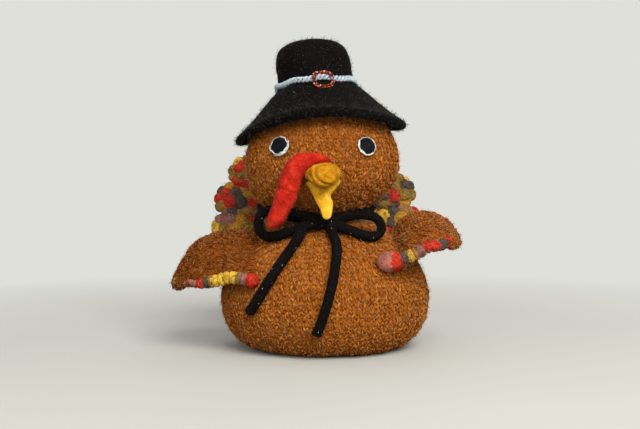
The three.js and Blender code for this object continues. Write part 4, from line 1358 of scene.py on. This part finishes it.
def wingBobble(name, shape):
    places, faces = ball(26, 36)
    share = np.clip(0.5 + 0.5 * places[:, 0] + 0.12 * lumps(places, 0.5, 9), 0.01, 0.99)
    places = wingToFigure(shape, bobbleMiddle(shape) + places * np.array(shape["bobbleHalf"]))
    ragged = edging["bobbleRagged"]
    dyed = dyedWool(name + "_bobble_wool", "share", shape["bobbleDyes"], edging["grain"], ragged)
    piece = makePiece(name + "_wing_tuft", clearOfBody(places, edging["clear"]), faces, dyed)
    swollen(piece, (4, 0.35, 43), (1.6, 0.14, 44))
    setValues(piece, "share", share)
    return piece


def wingMade(name):
    # the wing's wool meets the body at the seam; it is baked where it stands, and nothing here makes it
    # turn with the wing
    shape = wings[name]
    moves = name + "_wing"
    root, axes = wingFrame(shape)
    seam = [tuple((root + axes[0] * out) * mm) for out in wing["seam"]]
    rope, bobble = wingEdging(name, shape), wingBobble(name, shape)
    panel = wingPanel(name, shape, rope)
    places, facing = spread(panel, wing["fibres"], 110 + shape["side"])
    clear = outsideBody(places)
    hairs = fuzz(moves + "_fuzz", places[clear], facing[clear], woolFuzz, 114)
    settle(hairs, moves, "brown_wool", seam=seam)
    places, facing = spread(rope, edging["fibres"], 112 + shape["side"])
    kept = wingTip(shape, places) | (np.random.default_rng(113).random(len(places)) < edging["kept"])
    hairs = fuzz(moves + "_rope_fuzz", places[kept], facing[kept], woolFuzz, 115, edging["fuzz"])
    settle(hairs, moves, "brown_wool", seam=seam)
    settle(panel, moves, "brown_wool", moves + "_panel", seam=seam, fill=0.4)
    settle(rope, moves, "variegated_wool", moves + "_edging", seam=seam)
    settle(bobble, moves, "variegated_wool", moves + "_bobble", seam=seam, fill=0.8)


wingMade("left")
wingMade("right")
print("wings made")


# Tail: a fan of feathers in thick puffed stitches of many dyes

tail = {
    "height": 76, "shift": -7, "standoff": 5, "rise": 16.5, "lean": 15, "rootHalf": (26, 8, 26),
    "clear": 0.2, "fibres": 800, "fuzz": (0.35, 1.05),
}
feather = {
    "count": 10, "spread": 20.5, "turn": 3, "reach": 91, "start": 16, "thick": 6.5, "overlap": 0.6,
    "rows": 84, "sides": 80, "ends": (0.05, 0.2), "flat": 0.85,
}
puffs = {"gap": (5.4, 9.6), "swell": 3.3, "sink": 1.6, "roundness": 0.6}


def tailToFigure(places):
    root = bodyPlace(90, tail["height"], tail["standoff"])
    root[0] = tail["shift"]
    return root + tipped(places, tail["lean"])


def fanAxes(angle):
    # across, back and outwards for a feather at an angle in the fan
    c, s = cosSin(angle)
    return np.array([[s, 0, -c], [0, 1, 0], [c, 0, s]])


def featherGirth(reach):
    # half the width and half the thickness of a feather, by distance from the middle of the fan
    share = (reach - feather["start"]) / (feather["reach"] - feather["start"])
    half = reach * math.sin(math.radians(feather["spread"] / 2)) + feather["overlap"]
    closing = roundEnds(np.clip(share, 0.0005, 0.9995), *feather["ends"])
    return half * closing, np.minimum(feather["thick"], half) * closing * feather["flat"]


def featherSurface(reach, turn):
    # places on a feather and the way they face, in its own axes
    wide, thick = featherGirth(reach)
    ahead, behind = featherGirth(reach + 0.3), featherGirth(reach - 0.3)
    c, s = np.cos(turn), np.sin(turn)
    slope = (c * c * (ahead[0] - behind[0]) / wide + s * s * (ahead[1] - behind[1]) / thick) / 0.6
    return np.stack([wide * c, thick * s, reach], -1), unit(np.stack([c / wide, s / thick, -slope], -1))


def puffMiddles(places, rng):
    # random places on a surface, some closer together than others
    left = places[rng.permutation(len(places))]
    middles = []
    while len(left):
        middles.append(left[0])
        left = left[np.linalg.norm(left - left[0], axis=1) > rng.uniform(*puffs["gap"])]
    return np.array(middles)


def puffed(places, facing, rng):
    # swells the surface round the middle of each stitch, and says which stitch each place is in
    away = np.linalg.norm(places[:, None] - puffMiddles(places, rng)[None], axis=2)
    near, following = np.partition(away, 1, axis=1)[:, :2].T
    dome = (1 - (near / following) ** 2) ** puffs["roundness"]
    return places + facing * (puffs["swell"] * dome - puffs["sink"])[:, None], np.argmin(away, axis=1)


def dyeStitches(piece, stitches, faces, rng):
    picks = rng.integers(0, len(tailOrder), stitches.max() + 1)
    dyed = picks[stitches[[face[1] for face in faces]]]
    setValues(piece, "tint", (dyed + 0.5) / len(tailOrder), "FACE")


def tailFeather(number):
    rng = np.random.default_rng(200 + number)
    axes = fanAxes(90 + feather["turn"] + feather["spread"] * (number - (feather["count"] - 1) / 2))
    rows, sides = feather["rows"], feather["sides"]
    share = (1 - np.cos(np.linspace(0.04, math.pi - 0.04, rows))) / 2
    reach = np.repeat(feather["start"] + (feather["reach"] - feather["start"]) * share, sides)
    places, stitches = puffed(*featherSurface(reach, np.tile(turnsOf(sides), rows)), rng)
    rings = (places @ axes + upright * tail["rise"]).reshape(rows, sides, 3)
    places, faces = skin(rings, (rings[0].mean(0), rings[-1].mean(0)))
    piece = makePiece("tail_feather_%d_knit" % (number + 1), tailToFigure(places), faces, tailWool)
    swollen(piece, (2.5, 0.3, 200 + number))
    dyeStitches(piece, stitches, faces, rng)
    return piece


def tailRoot():
    rng = np.random.default_rng(220)
    places, faces = ball(70, 110)
    half = np.array(tail["rootHalf"], float)
    places, stitches = puffed(places * half, unit(places / half), rng)
    places = clearOfBody(tailToFigure(places + upright * (tail["rise"] / 2)), tail["clear"])
    piece = makePiece("tail_root_knit", places, faces, tailWool)
    dyeStitches(piece, stitches, faces, rng)
    return piece


tailPieces = [tailRoot()] + [tailFeather(i) for i in range(feather["count"])]
tailSpots = stacked(spread(piece, tail["fibres"], 120 + i) for i, piece in enumerate(tailPieces))
tailHairs = fuzz("tail_fuzz", *tailSpots, tailFuzz, 130, tail["fuzz"])
for piece, fill in zip(tailPieces, [0.6] + [0.7] * feather["count"]):
    settle(piece, "tail", "variegated_wool", piece.name.removesuffix("_knit"), fill=fill)
settle(tailHairs, "tail", "variegated_wool")
print("tail made")
for shape in (stitch, fibre):
    bpy.data.objects.remove(shape)


# Stage, camera and light

view = {"place": (-3.9, -668, 109.4), "focal": 850, "wide": 640, "tall": 429, "horizon": 206, "sensor": 36}
paper = {
    "half": 3000, "dark": (205, 205, 198), "light": (209, 209, 202), "unseen": (150, 150, 145),
    "near": 250, "fade": 2.2,
}
backdrop, studioGrey = srgb(223, 224, 218), (0.43, 0.43, 0.43, 1)
# lamps are in metres: where all of them aim, then the place, size, power and colour of each
lampAim = Vector((0, 0, 0.12))
lamps = {
    "key": ((0.6, -1.55, 1.3), 1.2, 42, (1.0, 0.98, 0.95)),
    "fill": ((-0.4, -1.7, 0.4), 1.4, 10, (1.0, 0.99, 0.97)),
    "back": ((0.3, 1.5, 1.2), 1.2, 4, (1.0, 1.0, 1.0)),
}


def backdropRays(start):
    # camera, glossy and transmission rays see the pale backdrop: the rest only carry the studio's light
    kinds = ("Camera", "Glossy", "Transmission")
    camera, glossy, through = (start.node("LightPath", output="Is %s Ray" % kind) for kind in kinds)
    return start.math("ADD", camera + glossy, through, True)


def stage():
    # the paper keeps the shadow near the figure, and runs into the backdrop farther off
    finish = Finish("stage_paper", 0.9, specular=0.1)
    start = finish.start
    shown = backdropRays(start)
    stops = [(0.3, srgb(*paper["dark"])), (0.7, srgb(*paper["light"]))]
    finish.link(start.mix(shown, srgb(*paper["unseen"]), finish.ramp(finish.noise(3, 2), stops)))
    away = start.node("VectorMath", {"operation": "LENGTH"}, {0: finish.place}, "Value")
    far = start.math("MULTIPLY", away - paper["near"] * mm, paper["fade"], True) * shown
    plain = start.node("Emission", {}, {"Color": backdrop})
    mixed = start.node("MixShader", {}, {0: far, 1: Shade(finish.tree, finish.shader.outputs[0]), 2: plain})
    finish.tree.links.new(mixed.socket, finish.tree.nodes["Material Output"].inputs["Surface"])
    half = paper["half"]
    places = [(-half, -half, 0), (half, -half, 0), (half, half, 0), (-half, half, 0)]
    makePiece("floor", places, [(0, 1, 2, 3)], finish.material)


def camera():
    data = bpy.data.cameras.new("camera")
    data.sensor_width = view["sensor"]
    data.lens = view["sensor"] * view["focal"] / view["wide"]
    made = bpy.data.objects.new("camera", data)
    made.location = [c * mm for c in view["place"]]
    pitch = math.atan((view["tall"] / 2 - view["horizon"]) / view["focal"])
    made.rotation_euler = (math.pi / 2 - pitch, 0, 0)
    scene.collection.objects.link(made)
    scene.camera = made


def world():
    made = bpy.data.worlds.new("studio")
    made.use_nodes = True
    tree = made.node_tree
    start = Shade(tree)
    colour = start.mix(backdropRays(start), studioGrey, backdrop)
    tree.links.new(colour.socket, tree.nodes["Background"].inputs["Color"])
    scene.world = made


def lamp(name, place, size, power, colour):
    data = bpy.data.lights.new(name, "AREA")
    data.size = size
    data.energy = power
    data.color = colour
    made = bpy.data.objects.new(name, data)
    made.location = place
    made.rotation_euler = (lampAim - Vector(place)).to_track_quat("-Z", "Y").to_euler()
    scene.collection.objects.link(made)


stage()
camera()
world()
for name, settings in lamps.items():
    lamp(name, *settings)
print("stage set")
